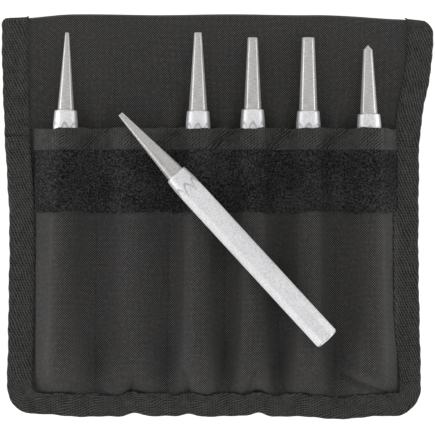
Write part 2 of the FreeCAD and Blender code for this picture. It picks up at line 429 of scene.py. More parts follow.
@dataclass(frozen=True)
class Table(Finish):
    """The pale lit surface that the set lies on."""

    colour: tuple[float, float, float] = (0.93, 0.93, 0.93)
    glow: float = 0.55

    def paint(self, tree: Tree, surface: bpy.types.Node) -> None:
        """Matt, with hardly any grain.

        Args:
            tree: The material's node tree.
            surface: Its surface shader.
        """
        grain = tree.noise(300.0, 1.0)
        tree.feed(surface, {
            "Base Color": tree.mix(grain, self.colour, tuple(part * 0.99 for part in self.colour)),
            "Roughness": 0.9,
            "Specular IOR Level": 0.1,
            "Emission Color": (1.0, 1.0, 1.0, 1.0),
            "Emission Strength": self.glow,
        })


CLOTH = WovenCloth("black_woven_cloth", "black_cloth")
TAPE = TwillTape("black_binding_tape", "binding_tape")
EDGE_TAPE = TwillTape("black_mouth_tape", "mouth_tape", (0.058, 0.057, 0.054), rib=0.0009, slant=-40.0)
LOOPS = Pile("black_loop_pile", "loop_pile")
HOOKS = Pile("black_hooks", "hook_tape", (0.030, 0.030, 0.031), (0.008, 0.008, 0.008), 1600.0, 0.55)
THREAD = Thread("black_thread", "black_thread")
PLATED = Steel("satin_plated_steel", "satin_steel")
GROUND = Steel("ground_steel", "satin_steel", SteelArea.GROUND)


# -------------------------------------------------------------------- meshes
def smooth(start: float, end: float, at: Numbers | float) -> Numbers:
    """0 at start, 1 at end, easing at both; start may be the larger.

    Args:
        start: Where the share is 0.
        end: Where it is 1.
        at: Where to read it.

    Returns:
        The shares.
    """
    share = np.clip((np.asarray(at, float) - start) / (end - start), 0.0, 1.0)
    return share * share * (3.0 - 2.0 * share)


def hump(at: Numbers | float, middle: Numbers | float, width: float) -> Numbers:
    """1 at its middle and easing to 0 a few widths away."""
    return np.exp(-((at - middle) / width) ** 2)


def waves(at: Numbers, table: Waves) -> Numbers:
    """A sum of sine waves, each of a height, a length over two pi, and a start."""
    return sum(height * np.sin(at / length + start) for height, length, start in table)


def through(points: Sequence[tuple[float, float]], at: Numbers | float) -> Numbers:
    """A smooth line through (place, value) points.

    Args:
        points: At least two points in order of place.
        at: Where to read the line; past an end it keeps that end's value.

    Returns:
        The line's values.
    """
    place, value = np.array(points, float).T
    slope = np.gradient(value, place)
    at = np.clip(np.asarray(at, float), place[0], place[-1])
    i = np.clip(np.searchsorted(place, at) - 1, 0, len(place) - 2)
    step = place[i + 1] - place[i]
    t = (at - place[i]) / step
    start = (2 * t**3 - 3 * t**2 + 1) * value[i] + (t**3 - 2 * t**2 + t) * step * slope[i]
    return start + (3 * t**2 - 2 * t**3) * value[i + 1] + (t**3 - t**2) * step * slope[i + 1]


@dataclass(frozen=True)
class Ripples:
    """A gentle unevenness made of a few crossing waves, the same on every run."""

    seed: int
    length: float
    height: float
    waves: int = 7

    def __call__(self, x: Numbers, y: Numbers) -> Numbers:
        """Heights at points, mostly within plus or minus height.

        Args:
            x: Across the wallet.
            y: Along the wallet, towards the fold.

        Returns:
            The heights.
        """
        draw = np.random.RandomState(self.seed)
        total = np.zeros(np.broadcast(x, y).shape)
        for _ in range(self.waves):
            angle, start = draw.uniform(0, 2 * math.pi, 2)
            turn = 2 * math.pi / (self.length * draw.uniform(0.7, 1.6))
            total += np.sin((x * math.cos(angle) + y * math.sin(angle)) * turn + start)
        return total * self.height / math.sqrt(self.waves)


def placed(name: str, data: bpy.types.ID) -> bpy.types.Object:
    """A new object in the scene.

    Args:
        name: The object's name.
        data: Its mesh, light or camera.

    Returns:
        The object.
    """
    piece = bpy.data.objects.new(name, data)
    bpy.context.scene.collection.objects.link(piece)
    return piece


def grid_piece(name: str, places: Numbers, weave: Numbers, closed: bool = False) -> bpy.types.Object:
    """A mesh over a grid of points.

    Args:
        name: The piece's name.
        places: Rows by columns by 3, in millimetres.
        weave: Rows by columns by 2, the cloth's own coordinates in millimetres.
        closed: Whether the last column joins the first.

    Returns:
        The new object, smooth shaded.
    """
    rows, columns = places.shape[:2]
    count = columns if closed else columns - 1
    faces = []
    for r in range(rows - 1):
        for c in range(count):
            n = (c + 1) % columns
            faces.append((r * columns + c, r * columns + n, (r + 1) * columns + n, (r + 1) * columns + c))
    mesh = bpy.data.meshes.new(name)
    mesh.from_pydata((places.reshape(-1, 3) * MM).tolist(), [], faces)
    layer = mesh.uv_layers.new(name=WEAVE_UV)
    corners = np.zeros(len(mesh.loops), int)
    mesh.loops.foreach_get("vertex_index", corners)
    layer.data.foreach_set("uv", (weave.reshape(-1, 2)[corners] * MM).ravel())
    mesh.polygons.foreach_set("use_smooth", [True] * len(mesh.polygons))
    return placed(name, mesh)


def settled(piece: bpy.types.Object) -> bpy.types.Object:
    """The piece with its modifiers made part of its mesh.

    Args:
        piece: A piece with modifiers.

    Returns:
        The same piece, without them.
    """
    bpy.context.view_layer.update()
    evaluated = piece.evaluated_get(bpy.context.evaluated_depsgraph_get())
    mesh = bpy.data.meshes.new_from_object(evaluated)
    mesh.name = piece.name
    piece.modifiers.clear()
    piece.data = mesh
    return piece


def mark_shade_lines(piece: bpy.types.Object, strength: Numbers) -> None:
    """Store how strongly each point lies on a line of painted shade, for the finish to read."""
    piece.data.attributes.new(SHADE_LINE, "FLOAT", "POINT").data.foreach_set("value", strength.ravel())


def thicken(piece: bpy.types.Object, thickness: float) -> bpy.types.Object:
    """Give a sheet its thickness, half to each side.

    Args:
        piece: An open sheet.
        thickness: In millimetres.

    Returns:
        The same piece, closed and facing outwards.
    """
    modifier = piece.modifiers.new("thickness", "SOLIDIFY")
    modifier.thickness = thickness * MM
    modifier.offset = 0.0
    modifier.use_rim = True
    settled(piece)
    face_outwards(piece)
    return piece


def face_outwards(piece: bpy.types.Object) -> None:
    """Turn every face of a closed piece outwards.

    Args:
        piece: The piece, whose mesh is changed.
    """
    work = bmesh.new()
    work.from_mesh(piece.data)
    bmesh.ops.recalc_face_normals(work, faces=work.faces)
    if work.calc_volume(signed=True) < 0:
        bmesh.ops.reverse_faces(work, faces=work.faces)
    work.to_mesh(piece.data)
    work.free()


def joined(name: str, pieces: Sequence[bpy.types.Object]) -> bpy.types.Object:
    """Several objects as one piece.

    Args:
        name: The new piece's name.
        pieces: The pieces to join, which are then removed.

    Returns:
        The one piece.
    """
    work = bmesh.new()
    for piece in pieces:
        work.from_mesh(piece.data)
    mesh = bpy.data.meshes.new(name)
    work.to_mesh(mesh)
    work.free()
    for piece in pieces:
        bpy.data.objects.remove(piece)
    return placed(name, mesh)


def dressed(piece: bpy.types.Object, *finishes: Finish) -> bpy.types.Object:
    """Give a piece its materials and log them.

    Args:
        piece: The piece.
        finishes: Its finishes, in the order of its faces' material numbers.

    Returns:
        The same piece.
    """
    piece.data.materials.clear()
    for finish in finishes:
        piece.data.materials.append(finish.material())
    LOG.info("%s: %d faces, %s", piece.name, len(piece.data.polygons), finishes[0].name)
    return piece


def lengths_along(line: Numbers) -> Numbers:
    """How far along a polyline each of its points is."""
    steps = np.linalg.norm(np.diff(line, axis=0), axis=1)
    return np.concatenate(([0.0], np.cumsum(steps)))


def evenly(line: Numbers, spacing: float) -> Numbers:
    """A polyline with the same course and even steps.

    Args:
        line: The points.
        spacing: About how far apart the new ones lie.

    Returns:
        The new points, with the same ends.
    """
    run = lengths_along(line)
    at = np.linspace(0.0, run[-1], max(2, int(run[-1] / spacing) + 1))
    return np.stack([np.interp(at, run, line[:, k]) for k in range(line.shape[1])], axis=1)


# ------------------------------------------------------- repeats, by geometry nodes
class Repeat:
    """A geometry tree with named inputs, run on a piece and turned into a plain mesh."""

    def __init__(self, name: str, inputs: Mapping[str, str]) -> None:
        """Start a tree.

        Args:
            name: The tree's name.
            inputs: Each input's name and socket type, after the geometry.
        """
        self.group = bpy.data.node_groups.new(name, "GeometryNodeTree")
        face = self.group.interface
        face.new_socket("Geometry", in_out="INPUT", socket_type="NodeSocketGeometry")
        for key, kind in inputs.items():
            face.new_socket(key, in_out="INPUT", socket_type=kind)
        face.new_socket("Geometry", in_out="OUTPUT", socket_type="NodeSocketGeometry")
        self.tree = Tree(self.group)
        self.start = self.tree.add("NodeGroupInput")

    def given(self, name: str) -> Value:
        """One of the tree's inputs."""
        return Value(self.tree, self.start.outputs[name])

    def finish(self, instances: Value, material: str) -> None:
        """End the tree: real geometry with its material.

        Args:
            instances: What the tree placed.
            material: The name of the tree's material input.
        """
        real = self.tree.value("GeometryNodeRealizeInstances", None, {0: instances})
        sockets = {"Geometry": real, "Material": self.given(material)}
        painted = self.tree.value("GeometryNodeSetMaterial", None, sockets)
        self.tree.add("NodeGroupOutput", None, {0: painted})

    def run(self, piece: bpy.types.Object, values: Mapping[str, object]) -> bpy.types.Object:
        """Run the tree on a piece.

        Args:
            piece: The object that holds the points, lines or surface to repeat on.
            values: A value for each named input.

        Returns:
            The same object, now holding the result as a plain mesh.
        """
        modifier = piece.modifiers.new(self.group.name, "NODES")
        modifier.node_group = self.group
        for item in self.group.interface.items_tree:
            if item.in_out == "INPUT" and item.name in values:
                modifier[item.identifier] = values[item.name]
        return settled(piece)


def stitch_repeat() -> Repeat:
    """Stitches laid end to end along lines, or across them when Across is 1.

    Returns:
        The tree.
    """
    sizes = dict.fromkeys(("Pitch", "Length", "Radius", "Across"), "NodeSocketFloat")
    made = Repeat("stitch_row", {**sizes, "Thread": "NodeSocketMaterial"})
    tree = made.tree
    line = tree.value("GeometryNodeMeshToCurve", None, {"Mesh": made.given("Geometry")})
    spacing = {"Curve": line, "Length": made.given("Pitch")}
    points = tree.value("GeometryNodeResampleCurve", {"mode": "LENGTH"}, spacing)
    bead = tree.value("GeometryNodeMeshUVSphere", None, {"Segments": 6, "Rings": 5, "Radius": 1.0})
    size = tree.value("ShaderNodeCombineXYZ", None, {
        0: made.given("Length") * 0.5, 1: made.given("Radius"), 2: made.given("Radius") * 0.8,
    })
    stitch = tree.value("GeometryNodeTransform", None, {"Geometry": bead, "Scale": size})
    tangent = tree.value("GeometryNodeInputTangent")
    along = tree.value("FunctionNodeAlignRotationToVector", {"axis": "X"}, {"Vector": tangent})
    quarter = tree.value("ShaderNodeCombineXYZ", None, {2: made.given("Across") * (math.pi / 2)})
    turn = tree.value("FunctionNodeEulerToRotation", None, {0: quarter})
    rotation = tree.value("FunctionNodeRotateRotation", {"rotation_space": "LOCAL"}, {0: along, 1: turn})
    instances = tree.value("GeometryNodeInstanceOnPoints", None, {
        "Points": points, "Instance": stitch, "Rotation": rotation,
    })
    made.finish(instances, "Thread")
    return made


def pile_repeat() -> Repeat:
    """Small bent threads scattered over a surface: loops, or hooks when Sweep is under half a turn.

    Returns:
        The tree.
    """
    sizes = dict.fromkeys(("Density", "Spacing", "Radius", "Thickness", "Sweep", "Lean"), "NodeSocketFloat")
    made = Repeat("pile", {**sizes, "Seed": "NodeSocketInt", "Thread": "NodeSocketMaterial"})
    tree = made.tree
    scatter = tree.add("GeometryNodeDistributePointsOnFaces", {"distribute_method": "POISSON"}, {
        "Mesh": made.given("Geometry"), "Distance Min": made.given("Spacing"),
        "Density Max": made.given("Density"), "Seed": made.given("Seed"),
    })
    arc = tree.value("GeometryNodeCurveArc", {"mode": "RADIUS"}, {
        "Resolution": 5, "Radius": made.given("Radius"), "Start Angle": 0.0,
        "Sweep Angle": made.given("Sweep"),
    })
    section = tree.value("GeometryNodeCurvePrimitiveCircle", {"mode": "RADIUS"}, {
        "Resolution": 3, "Radius": made.given("Thickness"),
    })
    swept = {"Curve": arc, "Profile Curve": section, "Fill Caps": True}
    thread = tree.value("GeometryNodeCurveToMesh", None, swept)
    quarter = (math.pi / 2, 0.0, 0.0)
    upright = tree.value("GeometryNodeTransform", None, {"Geometry": thread, "Rotation": quarter})
    spread = {2: 0.75, 3: 1.25, "Seed": made.given("Seed")}
    size = tree.value("FunctionNodeRandomValue", {"data_type": "FLOAT"}, spread, 1)
    instances = tree.value("GeometryNodeInstanceOnPoints", None, {
        "Points": Value(tree, scatter.outputs["Points"]), "Instance": upright,
        "Rotation": Value(tree, scatter.outputs["Rotation"]), "Scale": size,
    })
    lean = made.given("Lean")
    low = tree.value("ShaderNodeCombineXYZ", None, {0: lean * -1.0, 1: lean * -1.0, 2: 0.0})
    high = tree.value("ShaderNodeCombineXYZ", None, {0: lean, 1: lean, 2: 2 * math.pi})
    limits = {0: low, 1: high, "Seed": made.given("Seed")}
    spin = tree.value("FunctionNodeRandomValue", {"data_type": "FLOAT_VECTOR"}, limits)
    about = {"Instances": instances, "Rotation": spin, "Local Space": True}
    turned = tree.value("GeometryNodeRotateInstances", None, about)
    made.finish(turned, "Thread")
    return made


# ------------------------------------------------------------- how the cloth lies
@dataclass(frozen=True)
class Seam:
    """A line of stitches down the pockets, at x by the mouth and drifting by drift mm a mm below it."""

    x: float
    drift: float = 0.0

    def at(self, y: Numbers) -> Numbers:
        """X of the seam at y."""
        return self.x + self.drift * np.asarray(y, float)


@dataclass(frozen=True)
class Pleat:
    """A short crease in the pocket cloth, from one point to another; depth is negative for a groove."""

    start: tuple[float, float]
    end: tuple[float, float]
    width: float
    depth: float

    def height(self, x: Numbers, y: Numbers) -> Numbers:
        """How much it raises the cloth at (x, y).

        Args:
            x: Across the wallet.
            y: Along the wallet, towards the fold.

        Returns:
            The heights.
        """
        a, b = np.array(self.start), np.array(self.end)
        along = b - a
        share = np.clip(((x - a[0]) * along[0] + (y - a[1]) * along[1]) / (along @ along), 0.0, 1.0)
        away = (x - a[0] - share * along[0]) ** 2 + (y - a[1] - share * along[1]) ** 2
        return self.depth * np.exp(-away / self.width**2)


@dataclass(frozen=True)
class Pocket:
    """One sewn pocket."""

    left: Seam
    right: Seam
    crest: float
    lean: float = 0.0
    full: bool = True


@dataclass(frozen=True)
class Lie:
    """Where every layer of the wallet lies, at rest with the flap folded under it.

    A point on the body cloth is given by x, by s, the distance along the cloth from the origin's
    line towards the fold and on round it, and by n, how far it stands off the cloth's middle.
    """

    left: Sequence[tuple[float, float]] = (
        (-80.0, -84.5), (-66.0, -84.2), (-34.0, -83.4), (-2.0, -83.1), (32.0, -84.9), (60.0, -85.9),
        (80.0, -86.2))
    right: Sequence[tuple[float, float]] = (
        (-80.0, 81.7), (-66.0, 81.4), (-18.0, 80.2), (8.0, 80.3), (34.0, 81.0), (44.0, 82.4), (60.0, 85.2),
        (80.0, 86.4))
    dips: Sequence[tuple[float, float, float]] = (
        (-1.7, -58.0, -84.0), (-1.9, 38.0, 74.0), (-0.9, 72.0, 84.0))
    notches: Sequence[tuple[float, float, float]] = (
        (-33.0, 3.6, 1.7), (-11.0, 3.2, 1.2), (16.5, 3.8, 1.6), (66.0, 6.0, 0.35), (-68.0, 12.0, 0.9),
        (50.0, 13.0, -0.9), (-54.0, 9.0, -0.4))
    fold_waves: Waves = ((0.18, 9.0, 1.0),)
    hem_waves: Waves = ((0.2, 4.3, 0.0), (0.1, 1.2, 0.0))
    bottom: float = -80.2
    corner: float = 12.0
    top_corners: tuple[float, float] = (3.0, 6.0)
    fold_s: float = 79.4
    fold_radius: float = 1.0
    panel_z: float = 3.3
    resting_z: float = 1.0
    cloth: float = 0.6
    skin_gap: float = 0.03
    flap_end: float = -29.0
    flap_inset: float = 0.8
    mouth: float = 34.8
    hem: float = -71.6
    unevenness: Ripples = Ripples(3, 46.0, 0.32)
    creases: Ripples = Ripples(11, 17.0, 0.10)
    bar_z: float = 8.8
    bar_radius: float = 5.95
    slack_rise: float = 9.6
    bridged: float = 2.6
    pockets: tuple[Pocket, ...] = ()
    pleats: tuple[Pleat, ...] = (
        Pleat((11.5, -71.0), (15.5, -61.0), 1.5, -1.6), Pleat((26.0, -71.0), (21.5, -58.0), 1.5, -2.0),
        Pleat((18.5, -71.0), (18.0, -62.0), 2.4, 1.5), Pleat((47.5, -61.5), (67.0, -70.5), 1.3, -2.0),
        Pleat((52.0, -60.5), (69.0, -66.5), 2.0, 1.3), Pleat((-35.0, -71.0), (-33.0, -63.0), 1.6, -1.5),
        Pleat((-30.0, -71.0), (-27.0, -65.0), 2.0, 1.2), Pleat((-11.0, -71.0), (-12.0, -62.0), 1.5, -1.6),
        Pleat((35.0, -71.0), (38.0, -62.0), 1.7, -1.4), Pleat((-60.0, -71.0), (-58.0, -66.0), 1.6, -0.9),
        Pleat((3.0, -71.0), (6.0, -60.0), 1.4, -1.4), Pleat((-42.0, -70.5), (-45.0, -64.0), 1.8, 1.0),
    )

    @property
    def under_s(self) -> float:
        """Where the cloth has turned right round the fold."""
        return self.fold_s + math.pi * self.fold_radius

    @property
    def fold_middle_s(self) -> float:
        """The outermost line of the fold."""
        return self.fold_s + math.pi / 2 * self.fold_radius

    def s_under(self, y: float) -> float:
        """The distance along the cloth of a line on the flap."""
        return self.under_s + self.fold_s - y

    def side(self, s: Numbers, which: int) -> Numbers:
        """X of the cloth's edge; which is -1 for left and 1 for right.

        Args:
            s: Along the cloth.
            which: -1 for the left edge and 1 for the right.

        Returns:
            The places across.
        """
        s = np.asarray(s, float)
        y = np.where(s <= self.fold_middle_s, s, self.fold_s - (s - self.under_s))
        tuck = self.flap_inset * smooth(self.under_s, self.s_under(66.0), s)
        return through(self.left if which < 0 else self.right, y) - which * tuck

    def fold_line(self, x: Numbers) -> Numbers:
        """How far the fold's outermost line dips, towards both ends."""
        dip = sum(depth * smooth(start, end, x) for depth, start, end in self.dips)
        return dip + waves(x, self.fold_waves) * smooth(86.0, 60.0, abs(x))

    def hem_shift(self, x: Numbers, s: Numbers) -> Numbers:
        """How far the cloth at the bottom edge is drawn up by the gathers sewn into the tape.

        Args:
            x: Across the wallet.
            s: Along the cloth.

        Returns:
            The shifts along the cloth.
        """
        drawn = sum(height * hump(x, at, width) for at, width, height in self.notches)
        near_hem = smooth(-60.0, -74.0, s) * smooth(84.0, 76.0, abs(x))
        return (drawn + waves(x, self.hem_waves)) * near_hem

    def panel(self, x: Numbers, y: Numbers) -> Numbers:
        """Height of the back panel's middle: on the flap above, down on the table below it.

        The seams between full pockets draw it up, since both cloths go round the punches.

        Args:
            x: Across the wallet.
            y: Along the wallet, towards the fold.

        Returns:
            The heights above the table.
        """
        height = self.panel_z + (self.resting_z - self.panel_z) * smooth(-30.0, -60.0, y)
        drawn = sum(hump(x, pocket.right.at(y), 3.3) for pocket in self.pockets[:-1])
        pull = (2.2 * smooth(-58.0, -42.0, y) + 1.2 * smooth(-6.0, 4.0, y)) * smooth(50.0, 36.0, y)
        height = height + drawn * pull
        free = smooth(37.0, 52.0, y) * smooth(78.0, 66.0, y)
        low = -abs(self.creases(x, y)) * smooth(76.0, 60.0, y)
        return height + free * self.unevenness(x, y) + low

    def place(self, x: Numbers, s: Numbers, n: Numbers | float) -> Numbers:
        """Points of the body cloth.

        Args:
            x: Across the wallet.
            s: Along the cloth.
            n: How far off the cloth's middle, outwards from the pocket side.

        Returns:
            The points, with a last axis of 3.
        """
        x, s, n = np.broadcast_arrays(np.asarray(x, float), np.asarray(s, float), np.asarray(n, float))
        radius = np.where(x > 0, self.top_corners[1], self.top_corners[0])
        near = np.clip(1.0 - abs(s - self.fold_middle_s) / radius, 0.0, 1.0)
        drawn = 0.9 * radius * (1.0 - np.sqrt(1.0 - near**2)) * smooth(72.0, 86.0, abs(x))
        hand = np.sign(x)
        rough = waves(s, ((0.09, 0.9, hand), (0.11, 2.9, -hand)))
        x = x - hand * (drawn + rough * smooth(76.0, 81.0, abs(x)))
        dip = self.fold_line(x)
        y_front = s + dip * smooth(30.0, self.fold_s, s)
        z_front = self.panel(x, y_front) + n
        angle = np.clip((s - self.fold_s) / self.fold_radius, 0.0, math.pi)
        reach = self.fold_radius + n
        centre_z = self.panel_z - self.fold_radius
        y_fold = self.fold_s + dip + reach * np.sin(angle)
        z_fold = centre_z + reach * np.cos(angle)
        under = s - self.under_s
        y_under = self.fold_s + dip * smooth(self.s_under(30.0), self.under_s, s) - under
        z_under = centre_z - self.fold_radius - n
        front, behind = s < self.fold_s, s > self.under_s
        y = np.where(front, y_front, np.where(behind, y_under, y_fold))
        z = np.where(front, z_front, np.where(behind, z_under, z_fold))
        return np.stack([x, y, z], axis=-1)

    def tent(self, away: Numbers, half: Numbers, floor: Numbers) -> Numbers:
        """Height of cloth drawn over a bar from a seam; away is from the crest and half is the seam's.

        Args:
            away: How far from the crest, across.
            half: How far the seam is from the crest.
            floor: The height at the seam.

        Returns:
            The heights above the table.
        """
        rise = self.bar_z - floor
        reach = np.hypot(half, rise)
        angle = np.arctan2(rise, half) + np.arcsin(np.minimum(self.bar_radius / reach, 0.999))
        left = np.maximum(half - away, 0.0)
        straight = floor + np.tan(np.minimum(angle, 1.25)) * left**1.5 / np.sqrt(left + 0.7)
        round_top = self.bar_z + np.sqrt(np.maximum(self.bar_radius**2 - away**2, 0.0))
        within = away < self.bar_radius * np.sin(angle)
        inner = self.bar_z + np.sqrt(np.maximum((self.bar_radius - 0.12) ** 2 - away**2, 0.0))
        return np.where(within, round_top, np.maximum(straight, np.where(away < 5.4, inner, floor)))

    def cover(self, x: Numbers, y: Numbers) -> Numbers:
        """Height of the pocket cloth's middle.

        Args:
            x: Across the wallet.
            y: Along the wallet, towards the fold.

        Returns:
            The heights above the table.
        """
        x, y = np.broadcast_arrays(np.asarray(x, float), np.asarray(y, float))
        bottom = self.panel(x, y) + self.cloth + 0.05
        inside = np.minimum(x - self.pockets[0].left.x, self.pockets[-1].right.x - x)
        floor = bottom + self.bridged * smooth(-3.0, 3.0, y) * smooth(0.5, 7.0, inside)
        height = floor.copy()
        for pocket in self.pockets:
            left, right = pocket.left.at(y), pocket.right.at(y)
            crest = pocket.crest - pocket.lean * y
            half = np.where(x < crest, crest - left, right - crest)
            away = abs(x - crest)
            if pocket.full:
                shape = self.tent(away, half, floor)
            else:
                t = np.clip(away / half, 0.0, 1.0)
                shape = floor + self.slack_rise * (1 - t * t) ** 1.15
            height = np.where((x > left) & (x <= right), shape, height)
        fall = np.clip((-50.0 - y) / (-50.0 - self.hem), 0.0, 1.0) ** 2.4
        rest = 0.13 * (1.0 - smooth(self.hem + 2.0, -79.5, y))
        share = np.where(y < self.hem, rest, 1.0 - fall * (1.0 - rest))
        way_up = np.clip((height - floor) / 10.0, 0.0, 1.0)
        slack = way_up * (1.0 - way_up) * 4.0 * self.creases(x * 0.8, y * 0.4) * 2.6
        folds = sum(pleat.height(x, y) for pleat in self.pleats) * smooth(-73.5, -70.0, y)
        return bottom + (height - bottom + slack) * share + np.maximum(folds, 0.3 - (height - bottom) * share)

    def skin(self, thickness: float, on_pockets: Numbers | float = 0.0) -> Numbers | float:
        """How far the middle of a layer stands off the cloth's middle, when it lies on it."""
        return on_pockets + self.cloth / 2 + thickness / 2 + self.skin_gap

    def off_cover(self, x: Numbers, y: Numbers, n: Numbers | float) -> Numbers:
        """Points n off the pocket cloth's middle, square to it except close to a seam.

        Args:
            x: Across the wallet.
            y: Along the wallet, towards the fold.
            n: How far off the cloth's middle.

        Returns:
            The points, with a last axis of 3.
        """
        x, y, n = np.broadcast_arrays(np.asarray(x, float), np.asarray(y, float), np.asarray(n, float))
        step = 0.05
        z = self.cover(x, y)
        slope_x = (self.cover(x + step, y) - self.cover(x - step, y)) / (2 * step)
        slope_y = (self.cover(x, y + step) - self.cover(x, y - step)) / (2 * step)
        seams = [pocket.left for pocket in self.pockets] + [self.pockets[-1].right]
        clear = smooth(0.0, 2.2, np.min([abs(x - seam.at(y)) for seam in seams], axis=0))
        slope_x, slope_y = slope_x * clear, slope_y * clear
        size = np.sqrt(1 + slope_x**2 + slope_y**2)
        return np.stack([x - n * slope_x / size, y - n * slope_y / size, z + n / size], axis=-1)


def frame_lie(frame: dict) -> Lie:
    """The wallet's lie, with its pockets placed over the frame's punches.

    Args:
        frame: The loaded frame.

    Returns:
        A Lie with six pockets.
    """
    panel_low, panel_high = (Vector(corner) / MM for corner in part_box("pocket_panel"))
    seams = [(low + high) / 2 for low, high in seam_spans(frame["nodes"]["divider_stitches"])]
    first, last = (corner[0] / MM + room for corner, room in zip(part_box("loop_strip"), STRIP_ROOM))
    dividers = (Seam(x, drift) for x, drift in zip(seams, SEAM_DRIFT))
    edges = [Seam(first), *dividers, Seam(last, LAST_DRIFT)]
    pockets = []
    for left, right in zip(edges, edges[1:]):
        held = [name for name in PUNCHES
                if name != LOOSE and left.x < punch_ends(frame, name)[0].x / MM < right.x]
        if held:
            tip, head = (end / MM for end in punch_ends(frame, held[0]))
            lean = (head.x - tip.x) / (tip.y - head.y)
            pockets.append(Pocket(left, right, tip.x + lean * tip.y, lean))
        else:
            aside, lean = EMPTY_CREST
            pockets.append(Pocket(left, right, (left.x + right.x) / 2 + aside, lean, False))
    LOG.info("pockets from %.1f to %.1f mm, mouth at %.1f mm", panel_low.x, panel_high.x, panel_high.y)
    return Lie(pockets=tuple(pockets), mouth=panel_high.y - MOUTH_ROOM)


def seam_spans(node: bpy.types.Object) -> list[tuple[float, float]]:
    """The (low, high) X of each separate line of thread in a node, in millimetres, left to right."""
    values = sorted({round(vertex.co.x / MM, 2) for vertex in node.data.vertices})
    return list(zip(values[::2], values[1::2]))


# ------------------------------------------------------------------- punches
@dataclass(frozen=True)
class Punch:
    """One punch: a tapered working end, a round neck and an octagonal shank."""

    node: str
    tip: float
    taper: float
    base: float
    point: float = 0.0
    flats: float = 9.8
    shoulder: float = 4.4
    neck: float = 9.5
    chamfer: float = 1.0
    rounding: float = 0.07
    sharpness: float = 160.0
    sides: int = 96

    def stations(self, length: float) -> list[tuple[float, float]]:
        """(distance from the tip, largest radius) down the punch.

        Args:
            length: The punch's whole length.

        Returns:
            The stations, from the tip to the head.
        """
        tip, base = self.tip / 2, self.base / 2
        corner = self.flats / 2 / math.cos(math.pi / 8)
        if self.point:
            start = [(0.0, 0.0), (0.06, 0.12), (self.point * 0.5, tip * 0.5), (self.point - 0.03, tip - 0.03)]
        else:
            start = [(0.0, 0.0), (0.0, tip * 0.6), (0.0, tip - 0.12), (0.04, tip - 0.04)]
        grow = (base - tip) / (self.taper - self.point)
        ring_z = np.linspace(self.point + 0.12, self.taper - 0.25, 22)
        ring = [(z, tip + (z - self.point) * grow) for z in ring_z]
        step = [(self.taper - 0.06, base), (self.taper, base + 0.08), (self.taper, self.shoulder - 0.3),
                (self.taper + 0.09, self.shoulder - 0.09), (self.taper + 0.3, self.shoulder)]
        widen = (corner - self.shoulder) / self.neck
        cone = [(self.taper + z, self.shoulder + z * widen) for z in np.arange(0.6, self.neck + 2.0, 0.3)]
        shank = [(z, corner + 1.0) for z in np.linspace(self.taper + self.neck + 3.0, length - 2.5, 16)]
        end = length - self.chamfer
        head = [(end - 0.5, corner + 0.5), (end - 0.15, corner + 0.12), (end, corner)]
        head += [(end + z, corner - z) for z in (0.15, 0.4, 0.7, 0.9)]
        head += [(length - 0.03, corner - 1.04)]
        head += [(length, radius) for radius in (corner - 1.2, corner * 0.5, 0.0)]
        return start + ring + step + cone + shank + head

    def radius(self, largest: Numbers, angle: Numbers) -> Numbers:
        """The radius at an angle: the round form cut by the octagon's slightly rounded bar.

        Args:
            largest: The round form's radius.
            angle: Round the axis.

        Returns:
            The radii.
        """
        flat = self.flats / 2
        rounded = flat / math.cos(math.pi / 8) - self.rounding
        sizes = (self.octagon(angle), rounded, np.maximum(largest, 0.02))
        total = sum(size**-self.sharpness for size in sizes)
        return np.where(largest < 0.02, 0.0, total ** (-1 / self.sharpness))

    def octagon(self, angle: Numbers) -> Numbers:
        """How far the eight flats stand off at an angle, up to their sharp corners."""
        return self.flats / 2 / np.cos((angle + math.pi / 8) % (math.pi / 4) - math.pi / 8)

    def build(self, frame: dict) -> bpy.types.Object:
        """Make the punch where its CAD node lies.

        Args:
            frame: The loaded frame.

        Returns:
            The finished piece, riding on its body.
        """
        tip, head = punch_ends(frame, self.node)
        along = (head - tip).normalized()
        across = Vector((0, 0, 1)).cross(along).normalized()
        over = along.cross(across)
        stations = self.stations((head - tip).length / MM)
        z, largest = (np.array(part)[:, None] for part in zip(*stations))
        angle = np.arange(self.sides)[None, :] * (2 * math.pi / self.sides)
        radius = self.radius(np.broadcast_to(largest, (len(stations), self.sides)), angle)
        places = (np.array(tip) / MM + z[..., None] * np.array(along)
                  + (radius * np.cos(angle))[..., None] * np.array(across)
                  + (radius * np.sin(angle))[..., None] * np.array(over))
        weave = np.stack([angle * self.flats / 2 + 0 * z, z + 0 * angle], axis=-1)
        piece = grid_piece(f"{self.node}_forged", places, weave, closed=True)
        # painted shade along where the turned neck and head meet the flats
        mark_shade_lines(piece, hump(np.broadcast_to(largest, radius.shape), self.octagon(angle), 0.045))
        weld(piece)
        face_outwards(piece)
        dressed(piece, PLATED, GROUND)
        limit = (self.taper - 0.02) * MM
        for polygon in piece.data.polygons:
            reach = (polygon.center - tip).dot(along)
            polygon.material_index = int(reach < limit)
        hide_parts(self.node)
        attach(piece, self.node)
        return piece


def weld(piece: bpy.types.Object) -> None:
    """Merge the points that fall together at a tip or on a head.

    Args:
        piece: The piece, whose mesh is changed.
    """
    work = bmesh.new()
    work.from_mesh(piece.data)
    bmesh.ops.remove_doubles(work, verts=work.verts, dist=1e-6)
    bmesh.ops.dissolve_degenerate(work, edges=work.edges, dist=1e-7)
    work.to_mesh(piece.data)
    work.free()


